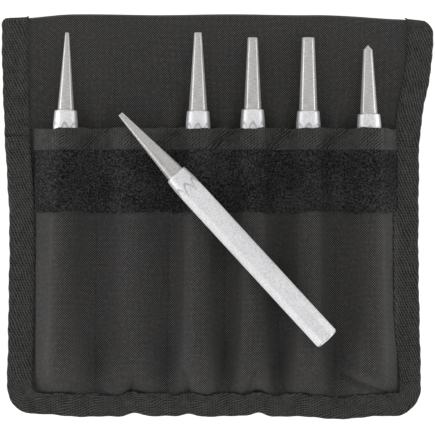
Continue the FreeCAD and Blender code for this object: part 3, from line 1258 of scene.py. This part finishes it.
def punch_ends(frame: dict, node: str) -> tuple[Vector, Vector]:
    """The middle of a punch's tip and of its head, in metres, read from its CAD mesh.

    Args:
        frame: The loaded frame.
        node: The punch's CAD node.

    Returns:
        The tip and the head.
    """
    points = np.array([vertex.co for vertex in frame["nodes"][node].data.vertices])
    centre = points.mean(axis=0)
    along = np.linalg.svd(points - centre, full_matrices=False)[2][0]
    along *= 1.0 if along[1] > 0 else -1.0
    reach = points @ along
    tip = points[reach > reach.max() - 0.3 * MM]
    head = points[reach < reach.min() + 0.3 * MM]
    middles = [(end.max(axis=0) + end.min(axis=0)) / 2 for end in (tip, head)]
    return Vector(middles[0]), Vector(middles[1])


PUNCHES = {
    punch.node: punch for punch in (
        Punch("drift_punch_1mm", 1.5, 30.9, 6.6),
        Punch(LOOSE, 2.0, 32.0, 7.3),
        Punch("drift_punch_3mm", 3.0, 31.2, 7.5),
        Punch("drift_punch_4mm", 4.0, 28.6, 7.0),
        Punch("drift_punch_5mm", 5.0, 29.2, 7.4),
        Punch("centre_punch", 3.7, 27.4, 7.0, point=1.85),
    )
}


# -------------------------------------------------------------------- sewing
@dataclass
class Sewing:
    """Makes rows of stitches, all with the same thread."""

    radius: float = 0.17
    repeat: Repeat = field(default_factory=stitch_repeat)

    def rows(self, name: str, node: str, body: str, lines: Sequence[Numbers], pitch: float = 2.6,
             length: float = 2.1, across: bool = False) -> None:
        """Stitches along lines, as one piece.

        Args:
            name: The piece's name.
            node: The CAD node that it replaces.
            body: The body that it rides on.
            lines: Polylines in millimetres.
            pitch: From one stitch to the next.
            length: Of one stitch.
            across: Whether each stitch lies across its line, as in a bar tack.
        """
        points, edges = [], []
        for line in lines:
            start = len(points)
            points += (np.asarray(line) * MM).tolist()
            edges += [(i, i + 1) for i in range(start, len(points) - 1)]
        mesh = bpy.data.meshes.new(name)
        mesh.from_pydata(points, edges, [])
        piece = placed(name, mesh)
        self.repeat.run(piece, {
            "Pitch": pitch * MM, "Length": length * MM, "Radius": self.radius * MM,
            "Across": float(across), "Thread": THREAD.material(),
        })
        piece.data.polygons.foreach_set("use_smooth", [True] * len(piece.data.polygons))
        dressed(piece, THREAD)
        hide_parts(node)
        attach(piece, body)


# -------------------------------------------------------------------- wallet
@dataclass
class Body:
    """The wallet's one long cloth and the tape round it, in three lengths that meet at the fold."""

    lie: Lie
    sewing: Sewing
    cut_width: float = 167.0
    tape_width: float = 10.1
    tape_turn: float = 1.0
    tape_thick: float = 0.42
    lap_y: float = 31.5
    inset: float = 0.6
    split_y: float = 70.4
    seam_in: float = 1.5
    step: float = 0.6
    edge_room: float = 0.55
    columns: int = 120
    rows: tuple[int, int, int] = (120, 12, 80)
    inner_waves: Waves = ((0.30, 2.1, 0.0), (0.34, 4.7, 1.0), (0.2, 1.1, 2.0))

    def cloth(self, name: str, s_from: float, s_to: float, columns: int, rows: int) -> bpy.types.Object:
        """A length of the body cloth, round-cornered where it ends.

        Args:
            name: The piece's name.
            s_from: Where it starts, along the cloth.
            s_to: Where it ends.
            columns: Points across.
            rows: Points along.

        Returns:
            The cloth with its thickness.
        """
        s_line = np.linspace(s_from, s_to, rows)
        left, right = self.edges(s_line)
        share = np.linspace(0.0, 1.0, columns)
        x = left[:, None] + (right - left)[:, None] * share[None, :]
        s = np.broadcast_to(s_line[:, None], x.shape)
        places = self.lie.place(x, s + self.lie.hem_shift(x, s), 0.0)
        return thicken(grid_piece(name, places, np.stack([x, s], axis=-1)), self.lie.cloth)

    def edges(self, s: Numbers) -> tuple[Numbers, Numbers]:
        """The raw edges of the cloth at s, drawn in round the corners.

        Args:
            s: Along the cloth.

        Returns:
            X of the left edge and of the right one.
        """
        lie = self.lie
        low, high = lie.bottom + self.inset, lie.s_under(lie.flap_end) - self.inset
        near = np.minimum(s - low, high - s)
        drop = np.clip(lie.corner - near, 0.0, lie.corner)
        drawn = lie.corner - np.sqrt(np.maximum(lie.corner**2 - drop**2, 0.0))
        return lie.side(s, -1) + self.inset + drawn, lie.side(s, 1) - self.inset - drawn

    def gathered(self, x: Numbers, s: Numbers, share: float) -> tuple[Numbers, Numbers]:
        """The bottom tape drawn up with the gathers, its inner edge rolled outwards and uneven.

        Args:
            x: Across the wallet.
            s: Along the cloth.
            share: 0 at the tape's outer edge and 1 at its inner one.

        Returns:
            The moved x and s.
        """
        ragged = waves(x, self.inner_waves) * smooth(80.0, 68.0, abs(x))
        rolled = share * smooth(-60.0, -69.0, s) * (1.35 - ragged)
        aside = 1.7 * share * smooth(60.0, 70.0, x) * smooth(-38.0, -70.0, s) * smooth(-78.0, -72.0, s)
        return x + aside, s + self.lie.hem_shift(x, s) - rolled * smooth(76.0, 70.0, abs(x))

    def loop_line(self, end: float, towards: int, open_s: float) -> Numbers:
        """The tape's outer edge, as (x, s): down one side, round the end and up the other.

        Args:
            end: Where the closed end lies, along the cloth.
            towards: 1 where s grows towards that end, else -1.
            open_s: Where both sides start.

        Returns:
            The line, in even steps.
        """
        lie = self.lie
        corner = end - towards * lie.corner
        sides = np.arange(open_s, corner, towards * self.step)
        turn = np.linspace(0.0, math.pi / 2, 16)[1:]
        left_x, right_x = float(lie.side(corner, -1)), float(lie.side(corner, 1))
        arc_x, arc_s = lie.corner * (1 - np.cos(turn)), lie.corner * np.sin(turn) * towards
        left, right = (np.stack([lie.side(sides, which), sides], axis=1) for which in (-1, 1))
        left_arc = np.stack([left_x + arc_x, corner + arc_s], axis=1)
        right_arc = np.stack([right_x - arc_x, corner + arc_s], axis=1)
        line = np.concatenate([left, left_arc, right_arc[::-1], right[::-1]])
        return evenly(line, self.step)

    def puckers(self, x: Numbers, s: Numbers, run: Numbers, depth: float, wave: bool) -> Numbers:
        """How far the tape's upper skin stands up from a plain lie.

        Args:
            x: Across the wallet.
            s: Along the cloth.
            run: Along the tape.
            depth: In from the tape's outer edge.
            wave: Whether the bottom edge is gathered.

        Returns:
            The heights.
        """
        lip = smooth(self.tape_width - 1.3, self.tape_width, depth)
        height = 0.12 * np.sin(run / 1.9 + 0.6 * np.sin(run / 7.0)) * smooth(0.0, 5.0, depth) + 0.35 * lip
        if wave:
            gather = smooth(-66.0, -72.0, s) * smooth(0.5, 4.0, depth)
            height = height + gather * waves(x, ((0.28, 1.15, s * 0.5), (0.22, 2.3, -s * 0.3)))
            lap = 0.5 * smooth(self.lap_y + 0.4, self.lap_y - 0.2, s) * smooth(-5.0, 25.0, s)
            groove = 0.9 * hump(s, self.lap_y + 0.5, 0.5)
            height = height + (lap - groove) * (x < 0) + 0.45 * smooth(-64.0, -69.0, s) * lip
        return height

    def section(self) -> list[tuple[float, float, bool, float]]:
        """The folded tape's cross-section, from its upper inner edge round to its lower one.

        Returns:
            For each row: how far in it lies, how far it has turned round the edge, whether it is part
            of the upper skin, and the cloth used up to the next row.
        """
        depths = np.linspace(self.tape_width, self.edge_room, 9)
        step = (self.tape_width - self.edge_room) / 8
        rows = [(depth, 0.0, True, step) for depth in depths]
        rows += [(0.5 - 0.5 * math.sin(turn), turn, False, 0.2) for turn in np.linspace(0.0, math.pi, 9)]
        return rows + [(depth, math.pi, False, step) for depth in depths[::-1]]

    def tape(self, name: str, line: Numbers, towards: int, top: Shape, wave: bool) -> bpy.types.Object:
        """Binding tape folded over an edge.

        Args:
            name: The piece's name.
            line: The outer edge, as (x, s).
            towards: 1 where s grows towards the line's closed end, else -1.
            top: How far the upper skin stands off the cloth's middle at (x, s).
            wave: Whether the bottom edge is gathered.

        Returns:
            The tape with its thickness.
        """
        inward, run = inward_of(line, towards), lengths_along(line)
        under = self.lie.skin(self.tape_thick)
        rows, weave, gone = [], [], 0.0
        for depth, turn, upper, step in self.section():
            x, s = (line + inward * depth).T
            if wave:
                x, s = self.gathered(x, s, depth / self.tape_width)
            over = top(x, s)
            n = over - (over + under) * (0.5 - 0.5 * math.cos(turn))
            if upper:
                n = n + self.puckers(x, s, run, depth, wave)
            rows.append(self.lie.place(x, s, n))
            weave.append(np.stack([run, np.full_like(run, gone)], axis=-1))
            gone += step
        return thicken(grid_piece(name, np.array(rows), np.array(weave)), self.tape_thick)

    def plain_top(self, x: Numbers, s: Numbers) -> Numbers:
        """The upper skin where the tape binds the body cloth alone."""
        return np.full_like(x, self.lie.skin(self.tape_thick))

    def pocket_top(self, x: Numbers, s: Numbers) -> Numbers:
        """The upper skin where the tape also binds the pocket cloth and its gathers.

        Args:
            x: Across the wallet.
            s: Along the cloth.

        Returns:
            How far it stands off the body cloth's middle.
        """
        lie = self.lie
        y = np.minimum(s, lie.mouth)
        over_pocket = lie.skin(self.tape_thick, lie.cover(x, y) - lie.panel(x, y))
        share = smooth(lie.mouth + 3.0, lie.mouth - 0.5, s)
        return self.plain_top(x, s) * (1 - share) + over_pocket * share

    def seam_line(self, line: Numbers, towards: int, top: Shape, side: int, wave: bool) -> Numbers:
        """The row of stitches along the tape's inner edge; side is 1 for the pocket side.

        Args:
            line: The tape's outer edge, as (x, s).
            towards: 1 where s grows towards the line's closed end, else -1.
            top: How far the tape's upper skin stands off the cloth's middle.
            side: 1 for the pocket side and -1 for the other.
            wave: Whether the bottom edge is gathered.

        Returns:
            The points of the row.
        """
        x, s = (line + inward_of(line, towards) * (self.tape_width - self.seam_in)).T
        if wave:
            x, s = self.gathered(x, s, 1.0 - self.seam_in / self.tape_width)
        stand = top(x, s) + self.tape_thick / 2 if side > 0 else -(self.plain_top(x, s) + self.tape_thick / 2)
        return self.lie.place(x, s, stand)

    def declare(self, piece: bpy.types.Object, width: float) -> None:
        """Work out a length's area and its span at the cut width; neither is kept."""
        area = sum(polygon.area for polygon in piece.data.polygons) / 2
        width * MM
        area / (width * MM)

    def build(self) -> None:
        """Make all three lengths with their tape and stitches."""
        lie = self.lie
        middle, split = lie.fold_middle_s, lie.s_under(self.split_y)
        end = lie.s_under(lie.flap_end)
        names = ("back_panel_sewn", "fold_turn_sewn", "flap_sewn")
        spans = ((lie.bottom + self.inset, middle), (middle, split), (split, end - self.inset))
        cloths = [self.cloth(name, *span, self.columns, rows)
                  for name, span, rows in zip(names, spans, self.rows)]
        lines = self.tape_lines(middle, split, end)
        turns = [self.tape(f"fold_end_{i}", line, 1, self.plain_top, False) for i, line in enumerate(lines[1])]
        tapes = [
            self.tape("panel_binding_sewn", lines[0], -1, self.pocket_top, True),
            joined("fold_binding_sewn", turns),
            self.tape("flap_binding_sewn", lines[2], 1, self.plain_top, False),
        ]
        for piece in cloths:
            self.declare(dressed(piece, CLOTH), self.cut_width)
        for piece in tapes:
            self.declare(dressed(piece, TAPE), 2 * self.tape_width + self.tape_turn)
        self.hang(cloths, tapes)
        seams = (
            ("panel", "wallet", 76.0, (lines[0], -1, self.pocket_top), True),
            ("flap", "flap", 62.0, (lines[2], 1, self.plain_top), False),
        )
        for part, body, stop_y, edge, wave in seams:
            rows = [self.seam_line(*edge, side, wave) for side in (1, -1)]
            pieces = [piece for row in rows for piece in split_where_far(row[row[:, 1] < stop_y])]
            self.sewing.rows(f"{part}_binding_thread", f"{part}_binding_stitches", body, pieces)

    def tape_lines(self, middle: float, split: float, end: float) -> tuple:
        """The outer edges that the three lengths of tape follow.

        Args:
            middle: The fold's outermost line, along the cloth.
            split: Where the turned length ends on the flap.
            end: The flap's end.

        Returns:
            The panel's line, the fold's left and right lines, and the flap's line, as (x, s).
        """
        lie = self.lie
        panel = self.loop_line(lie.bottom, -1, middle)
        flap = self.loop_line(end, 1, split)
        s = np.linspace(middle, split, 14)
        left, right = (np.stack([lie.side(s, which), s], axis=1) for which in (-1, 1))
        return panel, (left, right[::-1]), flap

    def hang(self, cloths: Sequence[bpy.types.Object], tapes: Sequence[bpy.types.Object]) -> None:
        """Hide the CAD nodes that each length stands for, and bake the length's placing into its mesh.

        Args:
            cloths: The three lengths of cloth, from the bottom edge on.
            tapes: The tape on each.
        """
        lie = self.lie
        z_top, z_low = lie.panel_z, lie.panel_z - 2 * lie.fold_radius
        spine_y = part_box("spine_cloth")[0][1] / MM - 0.4
        bends = (
            ("wallet", "flap_fold", (0, lie.fold_s - 1.2, z_top), (0, lie.fold_s + 0.9, z_top - 0.9)),
            ("flap_fold", "flap_spine", (0, lie.fold_s + 0.9, z_low + 0.9), (0, lie.fold_s - 1.2, z_low)),
            ("flap_spine", "flap", (0, spine_y + 3.0, z_low), (0, spine_y - 3.0, z_low)),
        )
        nodes = (
            (("back_panel",), ("panel_binding",)),
            (("fold_cloth", "spine_cloth"), ("fold_binding", "spine_binding")),
            (("flap_panel",), ("flap_binding",)),
        )
        for pieces, (first, second, start, stop), stand_for in zip(zip(cloths, tapes), bends, nodes):
            for piece, replaced in zip(pieces, stand_for):
                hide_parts(*replaced)
                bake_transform(piece)


def inward_of(line: Numbers, towards: int) -> Numbers:
    """Unit steps in from each point of an outer edge; towards is 1 where s grows to its closed end.

    Args:
        line: The outer edge, as (x, s).
        towards: 1 where s grows towards the line's closed end, else -1.

    Returns:
        A step of 1 mm for each point.
    """
    tangent = np.gradient(line, axis=0)
    tangent /= np.linalg.norm(tangent, axis=1)[:, None]
    return np.stack([tangent[:, 1], -tangent[:, 0]], axis=1) * towards


def split_where_far(row: Numbers, gap: float = 6.0) -> list[Numbers]:
    """Cut a line of points wherever two neighbours lie further apart than gap."""
    cuts = np.nonzero(np.linalg.norm(np.diff(row, axis=0), axis=1) > gap)[0] + 1
    return [part for part in np.split(row, cuts) if len(part) > 1]


@dataclass
class PocketFront:
    """The pocket cloth and what is sewn across it."""

    lie: Lie
    sewing: Sewing
    pile: Repeat
    columns: int = 330
    hem_low: float = -78.6
    dividers_low: float = -70.0
    under_tape: float = 4.2
    mouth_waves: Waves = ((0.22, 3.1, 1.0), (0.16, 1.27, 0.0), (0.10, 0.71, 2.0))
    strip_waves: Waves = ((0.35, 5.3, 0.0), (0.22, 1.9, 0.7), (0.15, 0.83, 0.0))
    crease_strengths: Sequence[float] = (0.55, 0.75, 1.0, 1.0, 0.9)
    loop_low: float = 1.5
    loop_high: float = 26.9
    tape_low: float = 26.2
    tape_thick: float = 0.45
    mouth_tape_cut: float = 14.5
    base_thick: float = 0.5

    def x_line(self, margin: float = 0.3, finer: float = 1.0) -> Numbers:
        """Evenly spaced X from the left tape to the right one.

        Args:
            margin: How far it reaches past the outer pockets.
            finer: How many times more points than usual.

        Returns:
            The places across.
        """
        pockets = self.lie.pockets
        count = int(self.columns * finer)
        return np.linspace(pockets[0].left.x - margin, pockets[-1].right.x + margin, count)

    def arc(self, x: Numbers) -> Numbers:
        """Distance along the cloth across the covers, for the weave."""
        return lengths_along(np.stack([x, self.lie.cover(x, np.full_like(x, 0.0))], axis=1))

    def layer(self, name: str, rows: Sequence[tuple[float, float]], margin: float, ragged: bool = False,
              raised: Shape | None = None, finer: float = 1.0) -> bpy.types.Object:
        """A layer that follows the covers.

        Args:
            name: The piece's name.
            rows: (y, distance off the pocket cloth's middle) of each row.
            margin: How far it reaches past the outer pockets.
            ragged: Whether its lower edge is the loop strip's uneven one.
            raised: Extra height at (x, y), if any.
            finer: How many times more columns than usual.

        Returns:
            The layer as an open sheet.
        """
        x = self.x_line(margin, finer)
        arc = self.arc(x)
        places, weave, gone = [], [], 0.0
        last = rows[0]
        for y, n in rows:
            stand = n + (raised(x, np.full_like(x, y)) if raised else 0.0)
            place = self.lie.off_cover(x, np.full_like(x, y), stand)
            place[:, 1] += waves(x, self.mouth_waves) * smooth(self.lie.mouth - 6.0, self.lie.mouth, y)
            place[:, 1] += self.lie.hem_shift(x, np.full_like(x, y))
            if ragged:
                place[:, 1] += waves(x, self.strip_waves) * smooth(self.loop_low + 4.0, self.loop_low, y)
            places.append(place)
            gone += math.dist(last, (y, n))
            last = (y, n)
            weave.append(np.stack([arc, np.full_like(arc, gone)], axis=-1))
        return grid_piece(name, np.array(places), np.array(weave))

    def cloth(self) -> bpy.types.Object:
        """The pocket cloth, from the mouth down under the bottom tape.

        Returns:
            The piece.
        """
        mouth = self.lie.mouth
        ys = np.concatenate([np.linspace(mouth, -48.0, 46), np.linspace(-48.9, self.hem_low, 34)])
        piece = self.layer("pocket_cloth_sewn", [(y, 0.0) for y in ys], self.under_tape)
        dressed(thicken(piece, self.lie.cloth * 0.9), CLOTH)
        width = self.arc(self.x_line(self.under_tape))[-1]
        (mouth - self.hem_low) * MM
        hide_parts("pocket_panel")
        return piece

    def creases(self, x: Numbers, y: Numbers) -> Numbers:
        """1 along the slanting creases gathered in the mouth tape beside each seam, and 0 away from them.

        Args:
            x: Across the wallet.
            y: Along the wallet, towards the fold.

        Returns:
            The strengths.
        """
        total = np.zeros(np.broadcast(x, y).shape)
        for pocket, strength in zip(self.lie.pockets[:-1], self.crease_strengths):
            away = (pocket.right.at(y) - x) - (self.lie.mouth - y) * 1.15 + 0.5 * np.sin(y / 1.7)
            sharp = 1.0 - abs(np.sin(away * (math.pi / 2.1))) ** 0.5
            total = total + strength * hump(away, -3.0, 3.8) * sharp
        return total

    def pucker(self, x: Numbers, y: Numbers) -> Numbers:
        """How the mouth tape stands up between its creases."""
        return 0.05 * np.sin(x / 1.7 + y * 0.9) - 0.8 * self.creases(x, y) + 0.25

    def mouth_tape(self) -> bpy.types.Object:
        """The tape folded over the pocket mouths.

        Returns:
            The piece.
        """
        mouth = self.lie.mouth
        over = self.lie.skin(self.tape_thick)
        rows = [(y, over) for y in np.linspace(self.tape_low, mouth, 14)]
        turns = np.linspace(0.35, math.pi - 0.35, 7)
        rows += [(mouth + 0.55 * math.sin(turn), over * math.cos(turn)) for turn in turns]
        rows += [(y, -over + 0.1) for y in np.linspace(mouth, mouth - 4.5, 6)]
        piece = self.layer("mouth_tape_sewn", rows, 0.3, raised=self.pucker, finer=1.8)
        x, y = np.meshgrid(self.x_line(0.3, 1.8), [row[0] for row in rows])
        # painted shade along the gathered creases
        mark_shade_lines(piece, self.creases(x, y) * 0.9)
        thicken(piece, self.tape_thick)
        dressed(piece, EDGE_TAPE)
        self.arc(self.x_line(0.3))[-1] * MM
        self.mouth_tape_cut * MM
        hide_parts("mouth_tape")
        return piece

    def loop_strip(self) -> tuple[bpy.types.Object, bpy.types.Object]:
        """The loop strip's base and the loops on it.

        Returns:
            The base and the loops.
        """
        stand = self.lie.cloth / 2 + self.base_thick / 2 + 0.05
        rows = [(y, stand) for y in np.linspace(self.loop_low, self.loop_high, 22)]
        base = thicken(self.layer("loop_strip_sewn", rows, 0.2, ragged=True), self.base_thick)
        dressed(base, LOOPS)
        self.arc(self.x_line(0.2))[-1] * MM
        (self.loop_high - self.loop_low) * MM
        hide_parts("loop_strip")
        ys = np.linspace(self.loop_low + 0.3, self.tape_low - 0.3, 12)
        pile = self.layer("loop_pile", [(y, stand + self.base_thick / 2) for y in ys], 0.0, ragged=True)
        self.pile.run(pile, {
            "Density": 1.9e6, "Spacing": 0.55 * MM, "Radius": 0.42 * MM, "Thickness": 0.085 * MM,
            "Sweep": math.pi, "Lean": 0.45, "Seed": 5, "Thread": LOOPS.material(),
        })
        dressed(pile, LOOPS)
        return base, pile

    def threads(self) -> None:
        """Every row of stitches on the pocket front."""
        lie, loop_top = self.lie, self.lie.cloth / 2 + self.base_thick + 0.1
        cloth_top = lie.cloth / 2 + 0.03
        seams = [pocket.right for pocket in lie.pockets[:-1]]
        tape_top = lie.cloth / 2 + self.tape_thick + 0.05
        spans = ((self.dividers_low, self.loop_low - 0.2, cloth_top),
                 (self.loop_low, self.tape_low, loop_top))
        dividers = []
        for seam in seams:
            for low, high, stand in spans:
                y = np.arange(low, high, 1.2)
                dividers.append(lie.off_cover(seam.at(y), y, stand))
        x = self.x_line(-0.5)
        mouth_row = lie.off_cover(x, np.full_like(x, self.tape_low + 1.2), tape_top + 0.03)
        loop_row = lie.off_cover(x, np.full_like(x, self.loop_low + 1.3), loop_top + 0.12)
        tacks = []
        ends = (Seam(lie.pockets[0].left.x + 0.6), Seam(lie.pockets[-1].right.x - 0.6))
        for seam in (ends[0], *seams, ends[1]):
            y = np.linspace(self.tape_low + 1.8, lie.mouth - 0.3, 8)
            tacks.append(lie.off_cover(seam.at(y), y, tape_top + 0.05))
        rows = (
            ("divider_thread", "divider_stitches", dividers, 2.6, 2.1, False),
            ("mouth_tape_thread", "mouth_tape_stitches", [mouth_row], 2.4, 1.9, False),
            ("loop_strip_thread", "loop_strip_stitches", [loop_row], 2.8, 2.0, False),
            ("bar_tack_thread", "mouth_bar_tacks", tacks, 0.42, 1.7, True),
        )
        for name, node, lines, pitch, length, across in rows:
            self.sewing.rows(name, node, "wallet", lines, pitch, length, across)

    def build(self) -> None:
        """Make the pocket front, all of it riding on the wallet."""
        for piece in (self.cloth(), self.mouth_tape(), *self.loop_strip()):
            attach(piece, "wallet")
        self.threads()


@dataclass
class FlapStrip:
    """The hook strip on the flap's underside and the two rows that hold it."""

    lie: Lie
    sewing: Sewing
    pile: Repeat
    base_thick: float = 0.35
    row_in: float = 1.6

    def build(self) -> None:
        """Make the strip, its hooks and its stitches."""
        low, high = (Vector(corner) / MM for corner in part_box("hook_strip"))
        x, y = np.linspace(low.x, high.x, 90), np.linspace(low.y, high.y, 18)
        x_grid, y_grid = np.meshgrid(x, y)
        top = self.lie.panel_z - 2 * self.lie.fold_radius - self.lie.cloth / 2
        z = np.full_like(x_grid, top - self.base_thick / 2 - 0.02)
        weave = np.stack([x_grid, y_grid], axis=-1)
        base = grid_piece("hook_strip_sewn", np.stack([x_grid, y_grid, z], axis=-1), weave)
        dressed(thicken(base, self.base_thick), HOOKS)
        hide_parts("hook_strip")
        face = top - self.base_thick - 0.02
        places = np.stack([x_grid, y_grid, np.full_like(x_grid, face)], axis=-1)[:, ::-1]
        hooks = grid_piece("hooks", places, weave)
        self.pile.run(hooks, {
            "Density": 0.7e6, "Spacing": 0.95 * MM, "Radius": 0.27 * MM, "Thickness": 0.07 * MM,
            "Sweep": math.pi * 0.8, "Lean": 0.08, "Seed": 9, "Thread": HOOKS.material(),
        })
        dressed(hooks, HOOKS)
        back = self.lie.panel_z - 2 * self.lie.fold_radius + self.lie.cloth / 2 + 0.05
        rows = [np.stack([x, np.full_like(x, y), np.full_like(x, back)], axis=1)
                for y in (low.y + self.row_in, high.y - self.row_in)]
        for piece in (base, hooks):
            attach(piece, "flap")
        self.sewing.rows("hook_strip_thread", "hook_strip_stitches", "flap", rows)


# --------------------------------------------------------------------- stage
@dataclass(frozen=True)
class Studio:
    """Camera, soft lights and the pale table."""

    height: float = 0.9035
    seen: float = 0.174
    aim_y: float = -0.0006
    sensor: float = 36.0
    reach: float = 1.6

    def camera(self) -> None:
        """Look straight down, square to the wallet."""
        data = bpy.data.cameras.new("camera")
        data.sensor_width = self.sensor
        data.lens = self.sensor * (self.height - 0.0035) / self.seen
        data.clip_end = 10.0
        camera = placed("camera", data)
        camera.location = (0.0, self.aim_y, self.height)
        bpy.context.scene.camera = camera

    def light(self, name: str, place: Sequence[float], width: float, height: float, power: float) -> None:
        """A soft light aimed at the wallet.

        Args:
            name: The light's name.
            place: Where it stands, in metres.
            width: Its width.
            height: Its height.
            power: In watts.
        """
        data = bpy.data.lights.new(name, "AREA")
        data.shape, data.size, data.size_y, data.energy = "RECTANGLE", width, height, power
        light = placed(name, data)
        light.location = place
        light.rotation_euler = (-Vector(place)).to_track_quat("-Z", "Y").to_euler()

    def sky(self) -> None:
        """White surroundings, brightest near the horizon and dimmer straight overhead."""
        world = bpy.data.worlds.new("studio")
        world.use_nodes = True
        bpy.context.scene.world = world
        tree = Tree(world.node_tree)
        right, back, up = tree.split(tree.value("ShaderNodeTexCoord", output="Generated"))
        colour = tree.mix(up.ramp(-0.1, 0.7), (0.82, 0.82, 0.82), (1.0, 1.0, 1.0))
        gap = (up * 0.80 - right * 0.55 - back * 0.23).ramp(0.95, 0.985)
        strength = (0.93 - (right + back) * 0.09) * (1.0 - gap * 0.75)
        tree.feed(world.node_tree.nodes["Background"], {"Color": colour, "Strength": strength})

    def build(self) -> None:
        """Set everything up."""
        corners = np.array([[[x, y, 0.0] for x in (-1, 1)] for y in (-1, 1)]) * self.reach / MM
        table = grid_piece("table", corners, np.zeros((2, 2, 2)))
        table.data.materials.append(Table("pale_table", "").material())
        self.camera()
        self.light("left_side", (-0.75, 0.05, 0.09), 0.5, 0.12, 1.35)
        self.light("right_side", (0.75, 0.0, 0.09), 0.5, 0.12, 1.25)
        self.light("near_side", (-0.66, -0.34, 0.06), 0.14, 0.10, 0.35)
        self.sky()
        bpy.context.scene.view_settings.view_transform = "Standard"


def main() -> None:
    """Build the set round the frame."""
    logging.basicConfig(level=logging.INFO, format="%(message)s")
    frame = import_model()
    Studio().build()
    sewing, pile = Sewing(), pile_repeat()
    lie = frame_lie(frame)
    Body(lie, sewing).build()
    PocketFront(lie, sewing, pile).build()
    FlapStrip(lie, sewing, pile).build()
    for punch in PUNCHES.values():
        punch.build(frame)


if __name__ == "__main__":
    main()
